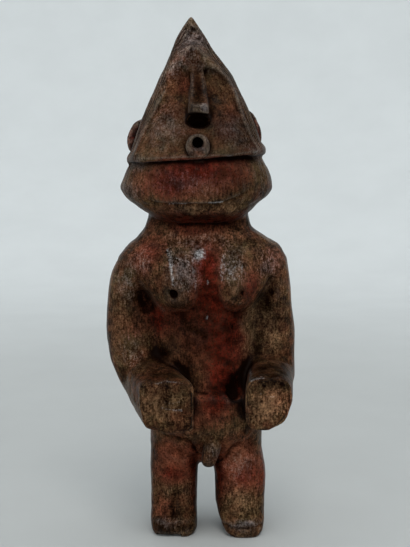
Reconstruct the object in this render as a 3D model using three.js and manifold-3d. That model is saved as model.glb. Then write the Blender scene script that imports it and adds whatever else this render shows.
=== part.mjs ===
// A standing male figure, carved from one block of hardwood, about 30 cm tall.
// It has a pointed cap-like head with a sunk face, a long nose and a ring mouth, a heavy jaw,
// thick arms whose forearms are broken off in front of the belly, and two short legs.
// Millimetres, +Z up. The figure faces -Y and its soles stand on z = 0.
// Left and right are the viewer's, who stands in front: left is -X and right is +X.

import * as THREE from 'three';
import { LoftGeometry } from 'three/addons/geometries/LoftGeometry.js';
import { mergeVertices } from 'three/addons/utils/BufferGeometryUtils.js';
import Module from 'manifold-3d';

const wasm = await Module();
wasm.setup();

const { mapLinear, smoothstep } = THREE.MathUtils;

// Driving sizes

const HEIGHT = 300; // sole to tip
const HEAD_TILT = 0.065; // the cap rises this much for each millimetre to the right
const STUMP_END_Y = -44; // the broken ends of the forearms, the foremost faces
const FACE_SUNK_AT_BROW = 4.2; // how far the heart-shaped face lies under its rim
const FACE_SUNK_AT_BRIM = 1.8;
const FOREHEAD_SWELL = 3;
const BREAST_SWELL = 8;
const BREASTS_X = [-13, 22.5];
const LOWER_BELLY_SWELL = 4.5;
const SPINE_DEPTH = 2.2;
const CLEFT_DEPTH = 5; // between the buttocks
const SPINE_X = 3;
const LEFT = -1;
const RIGHT = 1;

// Stations of the standing forms
// Each row is one level: its height z, its left and right edge, its front and back,
// and how square its corners are (2 is an ellipse, 4 nearly a box).

const TORSO = [
  { z: 41, left: -12, right: 18, front: -4, back: 14, square: 2 },
  { z: 46, left: -26, right: 33, front: -12, back: 27, square: 2.2 },
  { z: 53, left: -29, right: 36.5, front: -18, back: 36, square: 2.5 },
  { z: 60, left: -29.5, right: 37, front: -20.5, back: 39.4, square: 2.5 },
  { z: 68, left: -29.3, right: 36.8, front: -21.5, back: 39.8, square: 2.5 },
  { z: 76, left: -28.4, right: 36, front: -22, back: 37, square: 2.4 },
  { z: 84, left: -27.2, right: 34.5, front: -21.8, back: 31.5, square: 2.4 },
  { z: 91, left: -26.4, right: 32.8, front: -20.8, back: 27, square: 2.3 },
  { z: 99, left: -25.8, right: 31.6, front: -20.4, back: 23.6, square: 2.3 },
  { z: 110, left: -26, right: 31.4, front: -20.4, back: 22, square: 2.3 },
  { z: 122, left: -27.6, right: 32.6, front: -20.6, back: 23.4, square: 2.3 },
  { z: 131, left: -30, right: 34.6, front: -21.2, back: 25.8, square: 2.4 },
  { z: 135.5, left: -31.8, right: 36.4, front: -21.6, back: 27, square: 2.4 },
  { z: 138, left: -33, right: 37.6, front: -21.9, back: 27.7, square: 2.5 },
  { z: 141.5, left: -35, right: 39.4, front: -22.3, back: 28.6, square: 2.5 },
  { z: 147, left: -38.6, right: 42.6, front: -23, back: 29.6, square: 2.6 },
  { z: 154, left: -43, right: 45.8, front: -24.2, back: 30.2, square: 2.6 },
  { z: 161, left: -45, right: 47.2, front: -24.8, back: 30, square: 2.6 },
  { z: 168, left: -42.5, right: 46.2, front: -24, back: 29, square: 2.5 },
  { z: 175, left: -36.5, right: 38.4, front: -22, back: 28, square: 2.3 },
  { z: 182, left: -31.8, right: 29.8, front: -21, back: 28, square: 2.2 },
  { z: 197, left: -28, right: 26.5, front: -20.5, back: 28, square: 2.2 },
];

const JAW = [
  { z: 184, left: -26, right: 25, front: -21, back: 27, square: 2.2 },
  { z: 188.5, left: -29, right: 27, front: -31, back: 31, square: 2.3 },
  { z: 191, left: -32.8, right: 29.8, front: -35, back: 34, square: 2.3 },
  { z: 195.8, left: -39, right: 34.6, front: -37.4, back: 37.5, square: 2.3 },
  { z: 197, left: -40.6, right: 36.2, front: -38.6, back: 38.4, square: 2.3 },
  { z: 200, left: -43.8, right: 39.6, front: -39, back: 41.8, square: 2.3 },
  { z: 204, left: -45.8, right: 41.6, front: -38.5, back: 43.6, square: 2.4 },
  { z: 209, left: -44, right: 41, front: -37, back: 43.4, square: 2.5 },
  { z: 214, left: -41.8, right: 39.2, front: -35.5, back: 41, square: 2.5 },
  { z: 226, left: -38, right: 35, front: -32, back: 38, square: 2.5 },
];

// The cap is drawn level, and HEAD_TILT leans it.
const CAP = [
  { z: 219.5, left: -40.8, right: 37, front: -40, back: 40.5, square: 2.8 },
  { z: 223, left: -40.8, right: 37, front: -41, back: 40.5, square: 2.8 },
  { z: 228, left: -38.8, right: 34.6, front: -39, back: 39.5, square: 2.9 },
  { z: 236.5, left: -36, right: 31.6, front: -35.2, back: 36.5, square: 2.9 },
  { z: 245.7, left: -32.8, right: 27.9, front: -30.8, back: 32.5, square: 2.8 },
  { z: 254.7, left: -28.7, right: 23.7, front: -26.4, back: 27.5, square: 2.7 },
  { z: 263.8, left: -24.7, right: 19.4, front: -22, back: 22, square: 2.6 },
  { z: 268.4, left: -22.6, right: 16.6, front: -19.8, back: 19.3, square: 2.6 },
  { z: 272.8, left: -20.1, right: 13.4, front: -17.5, back: 16.5, square: 3 },
  { z: 280, left: -16.9, right: 8.1, front: -13.4, back: 12, square: 3 },
  { z: 285.6, left: -14.7, right: 5, front: -9.8, back: 9, square: 3 },
  { z: 291.2, left: -12, right: 1.8, front: -6.2, back: 6, square: 3 },
  { z: 296.8, left: -8, right: -2.1, front: -2.8, back: 2.8, square: 2 },
  { z: HEIGHT + 0.3, left: -5.3, right: -4.5, front: -0.4, back: 0.4, square: 2 },
];

const NOSE = [
  { z: 245.8, left: -5.8, right: 5.2, front: -37, back: -22, square: 4 },
  { z: 248.6, left: -5.9, right: 4.9, front: -37.4, back: -20, square: 4 },
  { z: 253, left: -5.5, right: 4.2, front: -33.5, back: -18, square: 4 },
  { z: 261, left: -5.1, right: 2.8, front: -27.8, back: -14, square: 4 },
  { z: 269, left: -4.6, right: 1.6, front: -22.4, back: -10, square: 4 },
  { z: 275, left: -4, right: 0.8, front: -16, back: -8, square: 3 },
];

const LEFT_LEG = [
  { z: 0, left: -27.5, right: -3, front: -16.5, back: 20, square: 3.2 },
  { z: 3, left: -29, right: -2, front: -18.5, back: 21, square: 3.2 },
  { z: 8, left: -29.4, right: -1.8, front: -17.5, back: 21, square: 3 },
  { z: 13, left: -29.3, right: -1.7, front: -14, back: 20.5, square: 2.8 },
  { z: 22, left: -29.3, right: -1.6, front: -12.5, back: 20, square: 2.8 },
  { z: 37, left: -29.7, right: -1.2, front: -13.5, back: 22, square: 2.7 },
  { z: 50, left: -28.8, right: 2.5, front: -15.5, back: 26, square: 2.5 },
  { z: 66, left: -25, right: 3, front: -12, back: 22, square: 2.4 },
];

const RIGHT_LEG = [
  { z: 0, left: 16.5, right: 36, front: -17.5, back: 20, square: 3.2 },
  { z: 3, left: 14, right: 37.4, front: -19.5, back: 21, square: 3.2 },
  { z: 8, left: 12, right: 38.2, front: -18.5, back: 21, square: 3 },
  { z: 12, left: 10.6, right: 38.3, front: -14.5, back: 20.5, square: 2.8 },
  { z: 22, left: 9.2, right: 38.6, front: -12.5, back: 20, square: 2.8 },
  { z: 32, left: 8.9, right: 39, front: -13.5, back: 22, square: 2.7 },
  { z: 50, left: 5.5, right: 36.6, front: -15.5, back: 26, square: 2.5 },
  { z: 66, left: 4, right: 33, front: -12, back: 22, square: 2.4 },
];

const LEFT_ARM = [
  { z: 78, left: -38, right: -22, front: -2, back: 10, square: 2.2 },
  { z: 84, left: -43.3, right: -21, front: -8, back: 17, square: 2.3 },
  { z: 92, left: -48.4, right: -19, front: -11, back: 21, square: 2.4 },
  { z: 105, left: -53.1, right: -20, front: -12.5, back: 23, square: 2.4 },
  { z: 124, left: -54.9, right: -23, front: -12.5, back: 22.5, square: 2.4 },
  { z: 141, left: -54, right: -28, front: -13.5, back: 21.5, square: 2.4 },
  { z: 153, left: -52.2, right: -30, front: -14.5, back: 21, square: 2.3 },
  { z: 162.5, left: -47.6, right: -26, front: -14, back: 19, square: 2.2 },
  { z: 170, left: -40.5, right: -24, front: -9, back: 15, square: 2 },
];

const RIGHT_ARM = [
  { z: 74, left: 28, right: 49, front: -2, back: 10, square: 2.2 },
  { z: 80, left: 26.5, right: 53.6, front: -8, back: 17, square: 2.3 },
  { z: 90, left: 26, right: 55.2, front: -11, back: 21, square: 2.4 },
  { z: 105, left: 27, right: 55.6, front: -12.5, back: 23, square: 2.4 },
  { z: 119, left: 31, right: 55.8, front: -12.5, back: 22.5, square: 2.4 },
  { z: 134, left: 35, right: 53.6, front: -13, back: 21.5, square: 2.4 },
  { z: 150, left: 35, right: 52.8, front: -14, back: 21, square: 2.3 },
  { z: 161, left: 30, right: 50.6, front: -14, back: 19, square: 2.2 },
  { z: 170, left: 26, right: 44.5, front: -9, back: 15, square: 2 },
];

const PEG = [
  { z: 46.8, left: 3.4, right: 8.6, front: -25.4, back: -19, square: 2.2 },
  { z: 50, left: 2.2, right: 9.8, front: -27.2, back: -16, square: 2.4 },
  { z: 57, left: 0.6, right: 11.8, front: -26.8, back: -12, square: 2.3 },
  { z: 67, left: 1, right: 12, front: -22, back: -10, square: 2 },
];

// Stations of the forms that run forward: y, the edges across, the edges up, and the squareness.

const LEFT_FOREARM = [
  { y: 14, left: -44, right: -25, low: 84, high: 108, square: 2.3 },
  { y: 0, left: -45.6, right: -20, low: 77, high: 109, square: 2.4 },
  { y: -16, left: -42, right: -12, low: 71.5, high: 105, square: 2.6 },
  { y: -30, left: -37.6, right: -6.5, low: 70, high: 101, square: 3 },
  { y: STUMP_END_Y, left: -32.8, right: -3.6, low: 70.5, high: 98, square: 3.8 },
];

const RIGHT_FOREARM = [
  { y: 14, left: 29, right: 53, low: 84, high: 108, square: 2.3 },
  { y: 0, left: 27, right: 54.5, low: 77, high: 109, square: 2.4 },
  { y: -16, left: 26, right: 53.6, low: 72.5, high: 106, square: 2.6 },
  { y: -30, left: 25.8, right: 52.2, low: 71.5, high: 103, square: 3 },
  { y: STUMP_END_Y, left: 25.5, right: 50.6, low: 72, high: 100.5, square: 3.8 },
];

// The mouth is a short spout.
const MOUTH = [
  { y: -28, left: -8.2, right: 6.6, low: 220.6, high: 234.6, square: 2 },
  { y: -39, left: -8, right: 6.4, low: 220.8, high: 234.2, square: 2 },
  { y: -42.4, left: -7, right: 5.4, low: 221.6, high: 233.6, square: 2 },
  { y: -43.6, left: -5.8, right: 4.2, low: 223, high: 232.8, square: 2 },
];

// The heart-shaped edge of the sunk face, seen from the front: x and z, from the left brim to the right one.
const FACE_EDGE = [
  [-37.5, 214],
  [-35.4, 224.5],
  [-28.8, 239.2],
  [-22.4, 251],
  [-19.2, 260.7],
  [-13.6, 267.9],
  [-7.4, 269.6],
  [-2, 267.4],
  [3.6, 270],
  [9.2, 269],
  [14.8, 264],
  [18.6, 257],
  [21.8, 247.3],
  [27.2, 233.8],
  [32, 225.6],
  [34.5, 214],
];

// Forms

// The function that reads every size of a list of stations at any level, on a smooth curve through them.
function readerOf(stations, axis) {
  const rising = [...stations].sort((a, b) => a[axis] - b[axis]);
  const sizes = Object.keys(stations[0]).filter((key) => key !== axis);
  const curve = new THREE.CubicInterpolant(
    rising.map((station) => station[axis]),
    rising.flatMap((station) => sizes.map((size) => station[size])),
    sizes.length,
  );
  return (level) => {
    const values = curve.evaluate(level);
    return Object.fromEntries(sizes.map((size, i) => [size, values[i]]));
  };
}

// A loft through the stations. place puts a point of a section, across and along from -1 to 1, in space.
function formOf(stations, axis, segments, ringsPerGap, place) {
  const read = readerOf(stations, axis);
  const rings = (stations.length - 1) * ringsPerGap;
  const sections = [];
  for (let ring = 0; ring <= rings; ring++) {
    const gap = Math.min(Math.floor(ring / ringsPerGap), stations.length - 2);
    const share = ring / ringsPerGap - gap;
    const level = THREE.MathUtils.lerp(stations[gap][axis], stations[gap + 1][axis], share);
    const at = read(level);
    const section = [];
    for (let i = 0; i < segments; i++) {
      const cos = Math.cos((2 * Math.PI * i) / segments);
      const sin = Math.sin((2 * Math.PI * i) / segments);
      const reach = (Math.abs(cos) ** at.square + Math.abs(sin) ** at.square) ** (-1 / at.square);
      section.push(place(at, level, cos * reach, sin * reach));
    }
    sections.push(section);
  }
  return solidOf(new LoftGeometry(sections, { capStart: true, capEnd: true }));
}

const between = (low, high, share) => (low + high) / 2 + (share * (high - low)) / 2;
const untouched = (point) => point;

function standingForm(stations, segments, ringsPerGap, carve = untouched) {
  return formOf(stations, 'z', segments, ringsPerGap, (at, z, across, along) => {
    const x = between(at.left, at.right, across);
    const y = between(at.front, at.back, along);
    return carve(new THREE.Vector3(x, y, z), along);
  });
}

// A forearm's lower outer edge is pared away by its bevel, a share of its size.
function forwardForm(stations, segments, ringsPerGap, side = 0, bevel = 0) {
  return formOf(stations, 'y', segments, ringsPerGap, (at, y, across, along) => {
    const corner = Math.max(0, side * across) * Math.max(0, -along);
    const x = between(at.left, at.right, across * (1 - bevel * corner));
    const z = between(at.low, at.high, along * (1 - bevel * corner));
    return new THREE.Vector3(x, y, z);
  });
}

function solidOf(geometry) {
  const bare = new THREE.BufferGeometry().copy(geometry);
  bare.deleteAttribute('normal');
  bare.deleteAttribute('uv');
  const merged = mergeVertices(bare, 1e-3);
  return new wasm.Manifold(
    new wasm.Mesh({
      numProp: 3,
      vertProperties: merged.attributes.position.array,
      triVerts: new Uint32Array(merged.index.array),
    }),
  );
}

function geometryOf(solid) {
  const mesh = solid.getMesh();
  const geometry = new THREE.BufferGeometry();
  geometry.setAttribute('position', new THREE.BufferAttribute(mesh.vertProperties, 3));
  geometry.setIndex(new THREE.BufferAttribute(mesh.triVerts, 1));
  geometry.computeVertexNormals();
  return geometry;
}

const joined = (solids) => solids.reduce((whole, solid) => whole.add(solid));

// Carving that bends a form's skin

const swell = (distance, reach) => Math.exp(-((distance / reach) ** 2));

// How far a breast stands out, from 0 to 1: it fades upwards and ends below in an arc.
function breastAt(side, z) {
  const arc = 134 + 0.03 * side * side;
  return swell(side, 11.5) * smoothstep(z, arc, arc + 6) * (1 - smoothstep(z, 147, 172));
}

// The breasts hang and the lower belly stands out in front; the spine and the cleft of the buttocks are cut in behind.
function carveTorso(point, along) {
  const { x, z } = point;
  if (along < 0) {
    const breasts = BREASTS_X.reduce((sum, middle) => sum + breastAt(x - middle, z), 0);
    const belly = smoothstep(z, 52, 66) * (1 - smoothstep(z, 84, 92)) * swell(x - 6, 17);
    point.y += (BREAST_SWELL * breasts + LOWER_BELLY_SWELL * belly) * along;
  } else {
    const spine = smoothstep(z, 78, 96) * (1 - smoothstep(z, 165, 182));
    const cleft = smoothstep(z, 42, 50) * (1 - smoothstep(z, 66, 82));
    const depth = SPINE_DEPTH * spine * swell(x - SPINE_X, 6) + CLEFT_DEPTH * cleft * swell(x - SPINE_X, 5);
    point.y -= depth * along;
  }
  return point;
}

// The forehead swells under the tip, and the whole cap leans.
function carveCap(point, along) {
  if (along < 0) {
    point.y += FOREHEAD_SWELL * swell(point.z - 274, 5.5) * swell(point.x + 2, 11) * along;
  }
  point.z += HEAD_TILT * point.x;
  return point;
}

// Small forms and cutters

// An egg shape at a place, with its three radii, turned about the front-to-back axis.
function egg([x, y, z], [wide, deep, tall], turn = 0, segments = 10, rings = 7) {
  const geometry = new THREE.SphereGeometry(1, segments, rings);
  geometry.scale(wide, deep, tall);
  geometry.rotateY(turn);
  geometry.translate(x, y, z);
  return solidOf(geometry);
}

// An ear is a lug that leans in with the side of the cap, hollowed towards the front.
function ear(side, x, z, wide, tall, lean) {
  const lug = egg([x, 5, z], [wide, 5, tall], side * -lean, 12, 8);
  const hollow = egg([x + side * 3.4, 0.2, z - 1], [2, 3, tall * 0.6], side * -lean);
  return lug.subtract(hollow);
}

function block([x, y, z], [wide, deep, tall], turn) {
  const geometry = new THREE.BoxGeometry(wide, deep, tall);
  geometry.rotateZ(turn);
  geometry.translate(x, y, z);
  return solidOf(geometry);
}

// A round hole bored straight back.
function bore([x, y, z], radius, depth) {
  const geometry = new THREE.CylinderGeometry(radius, radius, depth, 14);
  geometry.translate(x, y, z);
  return solidOf(geometry);
}

// What is cut away in front of the face: everything inside its edge and outside a cap that is drawn in.
function faceCut() {
  const edge = new THREE.Shape();
  edge.moveTo(...FACE_EDGE[0]);
  edge.splineThru(FACE_EDGE.slice(1).map(([x, z]) => new THREE.Vector2(x, z)));
  edge.closePath();
  const prism = new THREE.ExtrudeGeometry(edge, { depth: 60, bevelEnabled: false, curveSegments: 3 });
  prism.rotateX(Math.PI / 2);
  const drawnIn = CAP.slice(0, -2).map((station) => {
    const sunk = mapLinear(station.z, 222, 268, FACE_SUNK_AT_BRIM, FACE_SUNK_AT_BROW);
    return { ...station, front: station.front + sunk };
  });
  return solidOf(prism).subtract(standingForm(drawnIn, 48, 1, carveCap));
}

// The figure

const cap = standingForm(CAP, 48, 1, carveCap).subtract(faceCut());

const body = joined([
  standingForm(TORSO, 48, 1, carveTorso),
  standingForm(LEFT_LEG, 24, 1),
  standingForm(RIGHT_LEG, 24, 1),
  standingForm(LEFT_ARM, 22, 1),
  standingForm(RIGHT_ARM, 22, 1),
  forwardForm(LEFT_FOREARM, 24, 1, LEFT, 0.16),
  forwardForm(RIGHT_FOREARM, 24, 1, RIGHT, 0.26),
  standingForm(PEG, 12, 1),
]);

const bodyCuts = joined([
  egg([-14.8, -31.5, 145.9], [2.2, 3, 2.2]), // left nipple
  egg([24, -31.5, 146.1], [1.8, 3, 1.8]), // right nipple
  egg([-30.5, -20, 145.5], [4.4, 9, 10], -0.3), // left armpit
  egg([38.3, -19, 147], [3.4, 8, 9], 0.3), // right armpit
  egg([-23.5, -16.5, 109.5], [7.5, 6.5, 5.5], 0.5, 14, 10), // crook of the left elbow
  egg([20.5, -17.5, 95.5], [6.5, 6.5, 8.5], 0, 14, 10), // between the belly and the right forearm
  block([-23, -20.2, 2], [20, 12, 15], 0.14), // toes broken off the left foot
]);

const head = joined([
  cap,
  standingForm(JAW, 44, 1),
  standingForm(NOSE, 12, 1),
  forwardForm(MOUTH, 20, 1),
  ear(LEFT, -35.2, 233, 6, 10.4, 0.32),
  ear(RIGHT, 29, 237.6, 5.2, 10.8, 0.36),
]);

const headCuts = joined([
  egg([-12.4, -22.2, 261.5], [7.4, 5, 8.4], 0.35, 14, 10), // left eye socket
  egg([9.6, -22.2, 263], [7.4, 5, 8.4], -0.35, 14, 10), // right eye socket
  egg([-0.4, -34, 243], [6.8, 6, 4.6]), // hollow under the nose
  bore([-0.9, -41, 229.6], 3.1, 9), // mouth
]);

const wood = new THREE.MeshStandardMaterial({ color: 0x4a2c22, roughness: 0.68, metalness: 0 });

const figure = head.subtract(headCuts).add(body.subtract(bodyCuts));
const mesh = new THREE.Mesh(geometryOf(figure), wood);
mesh.name = 'carved_figure';

const statuette = new THREE.Group();
statuette.add(mesh);

export default statuette;
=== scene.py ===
"""A standing male figure carved from one block of hardwood, about 300 mm tall, dressed over its CAD model.

The figure is one carved solid, so it is one piece. Its shape starts as a block of grid points that holds
how far each point lies from the wood's surface. Rounded masses are added to the block and hollows are
pared away, as a carver works, the skin of what is left becomes the mesh, and the marks of the knife, the
broken faces and the wear are then cut into that skin. Sizes are in millimetres until the mesh is made, +Z
is up, the figure faces -Y, and left and right are the viewer's, who stands in front: left is -X.
"""

import itertools
import logging
import math
from collections.abc import Callable
from dataclasses import dataclass
from enum import Enum

import bpy
import numpy as np
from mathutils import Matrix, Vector


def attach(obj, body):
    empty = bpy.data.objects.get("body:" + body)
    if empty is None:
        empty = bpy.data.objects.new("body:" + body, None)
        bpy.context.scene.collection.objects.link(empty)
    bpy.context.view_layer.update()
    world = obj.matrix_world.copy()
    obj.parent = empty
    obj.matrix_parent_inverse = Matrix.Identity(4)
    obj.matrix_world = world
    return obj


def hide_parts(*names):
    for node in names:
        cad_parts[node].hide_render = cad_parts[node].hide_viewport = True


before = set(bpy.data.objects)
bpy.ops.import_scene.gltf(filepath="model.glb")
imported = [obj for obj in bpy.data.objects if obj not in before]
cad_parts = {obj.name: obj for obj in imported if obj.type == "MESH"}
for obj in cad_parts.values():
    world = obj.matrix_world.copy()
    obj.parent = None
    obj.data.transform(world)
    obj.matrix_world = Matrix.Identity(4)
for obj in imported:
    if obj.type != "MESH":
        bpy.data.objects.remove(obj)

log = logging.getLogger("carved_figure")

METRES = 0.001  # one millimetre
GRID_PITCH = 0.65
MOST_TRIANGLES = 190_000
FAR = 40.0  # the distance that an empty block holds
LATTICE_START = 4096.0  # keeps the lattice of every noise above zero
STUMP_END_Y = -44.0  # the broken ends of the forearms, the foremost faces
LEFT = -1
RIGHT = 1

Array = np.ndarray
Path = tuple[tuple[float, float], ...]
Place = tuple[float, float, float]
Span = tuple[Place, Place]
Stations = tuple[tuple[float, ...], ...]
Relief = Callable[[Array, Array], Array]
Socket = bpy.types.NodeSocket


# Shapes of curves


def smoothstep(value: Array, low: float | Array, high: float | Array) -> Array:
    """An S-curve from 0 at low to 1 at high.

    Formula: t squared times (3 - 2t), where t is the share of the way from low to high, held from 0 to 1.

    Args:
        value: What is graded.
        low: Where the curve leaves 0.
        high: Where it reaches 1.

    Returns:
        The curve's height at each value.
    """
    share = np.clip((value - low) / (high - low), 0.0, 1.0)
    return share * share * (3.0 - 2.0 * share)


def swell(distance: Array, reach: float) -> Array:
    """A bell of height 1: e to the power of minus the square of distance over reach."""
    return np.exp(-np.square(distance / reach))


def melt(first: Array, second: Array, width: float) -> Array:
    """Joins two distances with a rounded inner corner.

    Formula: the smaller one, less width / 4 times the square of 1 - |first - second| / width, held at 0
    or more.

    Args:
        first: Distances from one mass.
        second: Distances from the other.
        width: How far apart the two may be and still be rounded.

    Returns:
        The distances from both together.
    """
    share = np.maximum(1.0 - np.abs(first - second) / width, 0.0)
    return np.minimum(first, second) - share * share * (width * 0.25)


def pare(wood: Array, tool: Array, width: float) -> Array:
    """The wood outside the tool, its edge rounded over width: the larger of wood and -tool."""
    return -melt(-wood, tool, width)


def read_stations(stations: Stations, level: Array) -> list[Array]:
    """Reads a list of stations at any level, on a smooth curve that never overshoots them.

    Formula: a cubic through each pair of stations, whose slope at a station is the harmonic mean of the
    slopes on its two sides where they have the same sign, and otherwise 0.

    Args:
        stations: Rows of a level and the sizes there, in rising order.
        level: The levels to read, any shape.

    Returns:
        One array of level's shape for each size.
    """
    table = np.array(stations, dtype=np.float64)
    knots, sizes = table[:, 0], table[:, 1:]
    gaps = np.diff(knots)[:, None]
    slopes = np.diff(sizes, axis=0) / gaps
    before, after = slopes[:-1], slopes[1:]
    product = before * after
    total = np.where(product > 0.0, before + after, 1.0)
    inner = np.where(product > 0.0, 2.0 * product / total, 0.0)
    bends = np.concatenate([slopes[:1], inner, slopes[-1:]])
    held = np.clip(level, knots[0], knots[-1])
    spot = np.clip(np.searchsorted(knots, held, side="right") - 1, 0, len(knots) - 2)
    gap = gaps[spot, 0]
    t = (held - knots[spot]) / gap
    start = (1 + 2 * t) * (1 - t) ** 2
    end = t * t * (3 - 2 * t)
    leave = t * (1 - t) ** 2 * gap
    arrive = t * t * (t - 1) * gap
    read = []
    for size, bend in zip(sizes.T, bends.T):
        curve = start * size[spot] + end * size[spot + 1] + leave * bend[spot] + arrive * bend[spot + 1]
        read.append(curve.astype(np.float32))
    return read


# Lines on a face


def eased(path: Path, steps: int = 6) -> Path:
    """A finer path on a smooth curve through the points of path.

    Formula: Catmull-Rom, half of 2b + (c - a)t + (2a - 5b + 4c - d)t² + (3b - a - 3c + d)t³.

    Args:
        path: The points that the curve passes through.
        steps: Runs between two of them.

    Returns:
        The finer path.
    """
    points = np.array(path)
    ends = np.vstack([2 * points[0] - points[1], points, 2 * points[-1] - points[-2]])
    a, b, c, d = (ends[i : len(ends) - 3 + i, None] for i in range(4))
    t = (np.arange(steps) / steps)[None, :, None]
    curve = 0.5 * (2 * b + (c - a) * t + (2 * a - 5 * b + 4 * c - d) * t**2 + (3 * b - a - 3 * c + d) * t**3)
    return tuple(map(tuple, np.vstack([curve.reshape(-1, 2), points[-1]])))


def path_distance(across: Array, up: Array, path: Path) -> Array:
    """How far each point of the front view lies from a path.

    Formula: the least of its distances from the path's straight runs.

    Args:
        across: The points' x.
        up: Their z.
        path: Corners of the path, x and z.

    Returns:
        The distances.
    """
    nearest = np.full(np.broadcast(across, up).shape, FAR * FAR, dtype=np.float32)
    for (x0, z0), (x1, z1) in zip(path, path[1:]):
        wide, tall = x1 - x0, z1 - z0
        share = np.clip(((across - x0) * wide + (up - z0) * tall) / (wide * wide + tall * tall), 0.0, 1.0)
        gap = np.square(across - x0 - share * wide) + np.square(up - z0 - share * tall)
        nearest = np.minimum(nearest, gap)
    return np.sqrt(nearest)


def region_distance(across: Array, up: Array, path: Path) -> Array:
    """How far each point of the front view lies outside a closed path; inside it the distance is below zero.

    Formula: the distance from the path, turned below zero where a ray along +x crosses the path an odd
    number of times.

    Args:
        across: The points' x.
        up: Their z.
        path: Corners of the region, x and z.

    Returns:
        The signed distances.
    """
    closed = path + path[:1]
    inside = np.zeros(np.broadcast(across, up).shape, dtype=bool)
    for (x0, z0), (x1, z1) in zip(closed, closed[1:]):
        spans = (z0 > up) != (z1 > up)
        inside ^= spans & (across < x0 + (up - z0) * (x1 - x0) / (z1 - z0 if z1 != z0 else 1.0))
    gap = path_distance(across, up, closed)
    return np.where(inside, -gap, gap)


# Noise


def jumble(cells: Array, seed: int) -> Array:
    """A fixed number from 0 to 1 for each row of three whole numbers.

    Formula: the numbers are multiplied by three large odd constants, mixed by exclusive or, and stirred
    twice by a shift and a multiplication; the lowest 24 bits are the result.

    Args:
        cells: Whole numbers of 0 or more, in rows of three.
        seed: Another number gives another pattern.

    Returns:
        One number for each row.
    """
    mixed = (cells[..., 0] * np.uint32(0x8DA6B343)) ^ (cells[..., 1] * np.uint32(0xD8163841))
    mixed ^= (cells[..., 2] * np.uint32(0xCB1AB31F)) + np.uint32(seed * 7919 + 17)
    for shift, factor in ((15, 0x2C1B3C6D), (12, 0x297A2D39)):
        mixed ^= mixed >> np.uint32(shift)
        mixed *= np.uint32(factor)
    mixed ^= mixed >> np.uint32(15)
    return (mixed & np.uint32(0xFFFFFF)).astype(np.float32) / 0xFFFFFF


def noise(points: Array, size: float | Place, seed: int) -> Array:
    """Smooth noise from -1 to 1, in lumps about size across.

    Formula: a lattice of fixed numbers, blended over each cell along all three axes by t²(3 - 2t).

    Args:
        points: Rows of x, y and z.
        size: The lumps' size, or one for each axis.
        seed: Another number gives another pattern.

    Returns:
        The noise at each point.
    """
    lattice = points / np.asarray(size, dtype=np.float32) + LATTICE_START
    base = np.floor(lattice)
    share = lattice - base
    share = share * share * (3.0 - 2.0 * share)
    base = base.astype(np.uint32)
    total = np.zeros(len(points), dtype=np.float32)
    for corner in itertools.product((0, 1), repeat=3):
        weight = np.prod(np.where(np.array(corner, dtype=bool), share, 1.0 - share), axis=-1)
        total += weight * jumble(base + np.array(corner, dtype=np.uint32), seed)
    return 2.0 * total - 1.0


def layered_noise(points: Array, size: float | Place, seed: int, layers: int = 3) -> Array:
    """Noise with finer noise on it, about -1 to 1.

    Formula: each layer has half the size and half the height of the last, and the sum is made one high.

    Args:
        points: Rows of x, y and z.
        size: The largest lumps' size, or one for each axis.
        seed: Another number gives another pattern.
        layers: How many layers.

    Returns:
        The noise at each point.
    """
    total = np.zeros(len(points), dtype=np.float32)
    for layer in range(layers):
        total += noise(points, np.asarray(size) / 2**layer, seed + layer) / 2**layer
    return total / (2.0 - 0.5 ** (layers - 1))


def facets(points: Array, size: float | Place, seed: int) -> Array:
    """The shallow scoops that a blade leaves, from 0 in the middle to about 1 on the arris between two.

    Formula: the square of the distance to the nearest of a lattice of shifted middles, one to a cell, in
    cells.

    Args:
        points: Rows of x, y and z.
        size: The scoops' size, or one for each axis.
        seed: Another number gives another pattern.

    Returns:
        The height at each point.
    """
    lattice = points / np.asarray(size, dtype=np.float32) + LATTICE_START
    base = np.floor(lattice)
    nearest = np.full(len(points), 4.0, dtype=np.float32)
    for step in itertools.product((-1, 0, 1), repeat=3):
        cell = base + np.array(step)
        whole = cell.astype(np.uint32)
        shift = np.stack([jumble(whole, seed + axis) for axis in range(3)], axis=-1)
        nearest = np.minimum(nearest, np.square(cell + shift - lattice).sum(axis=-1))
    return nearest


# The block


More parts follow.
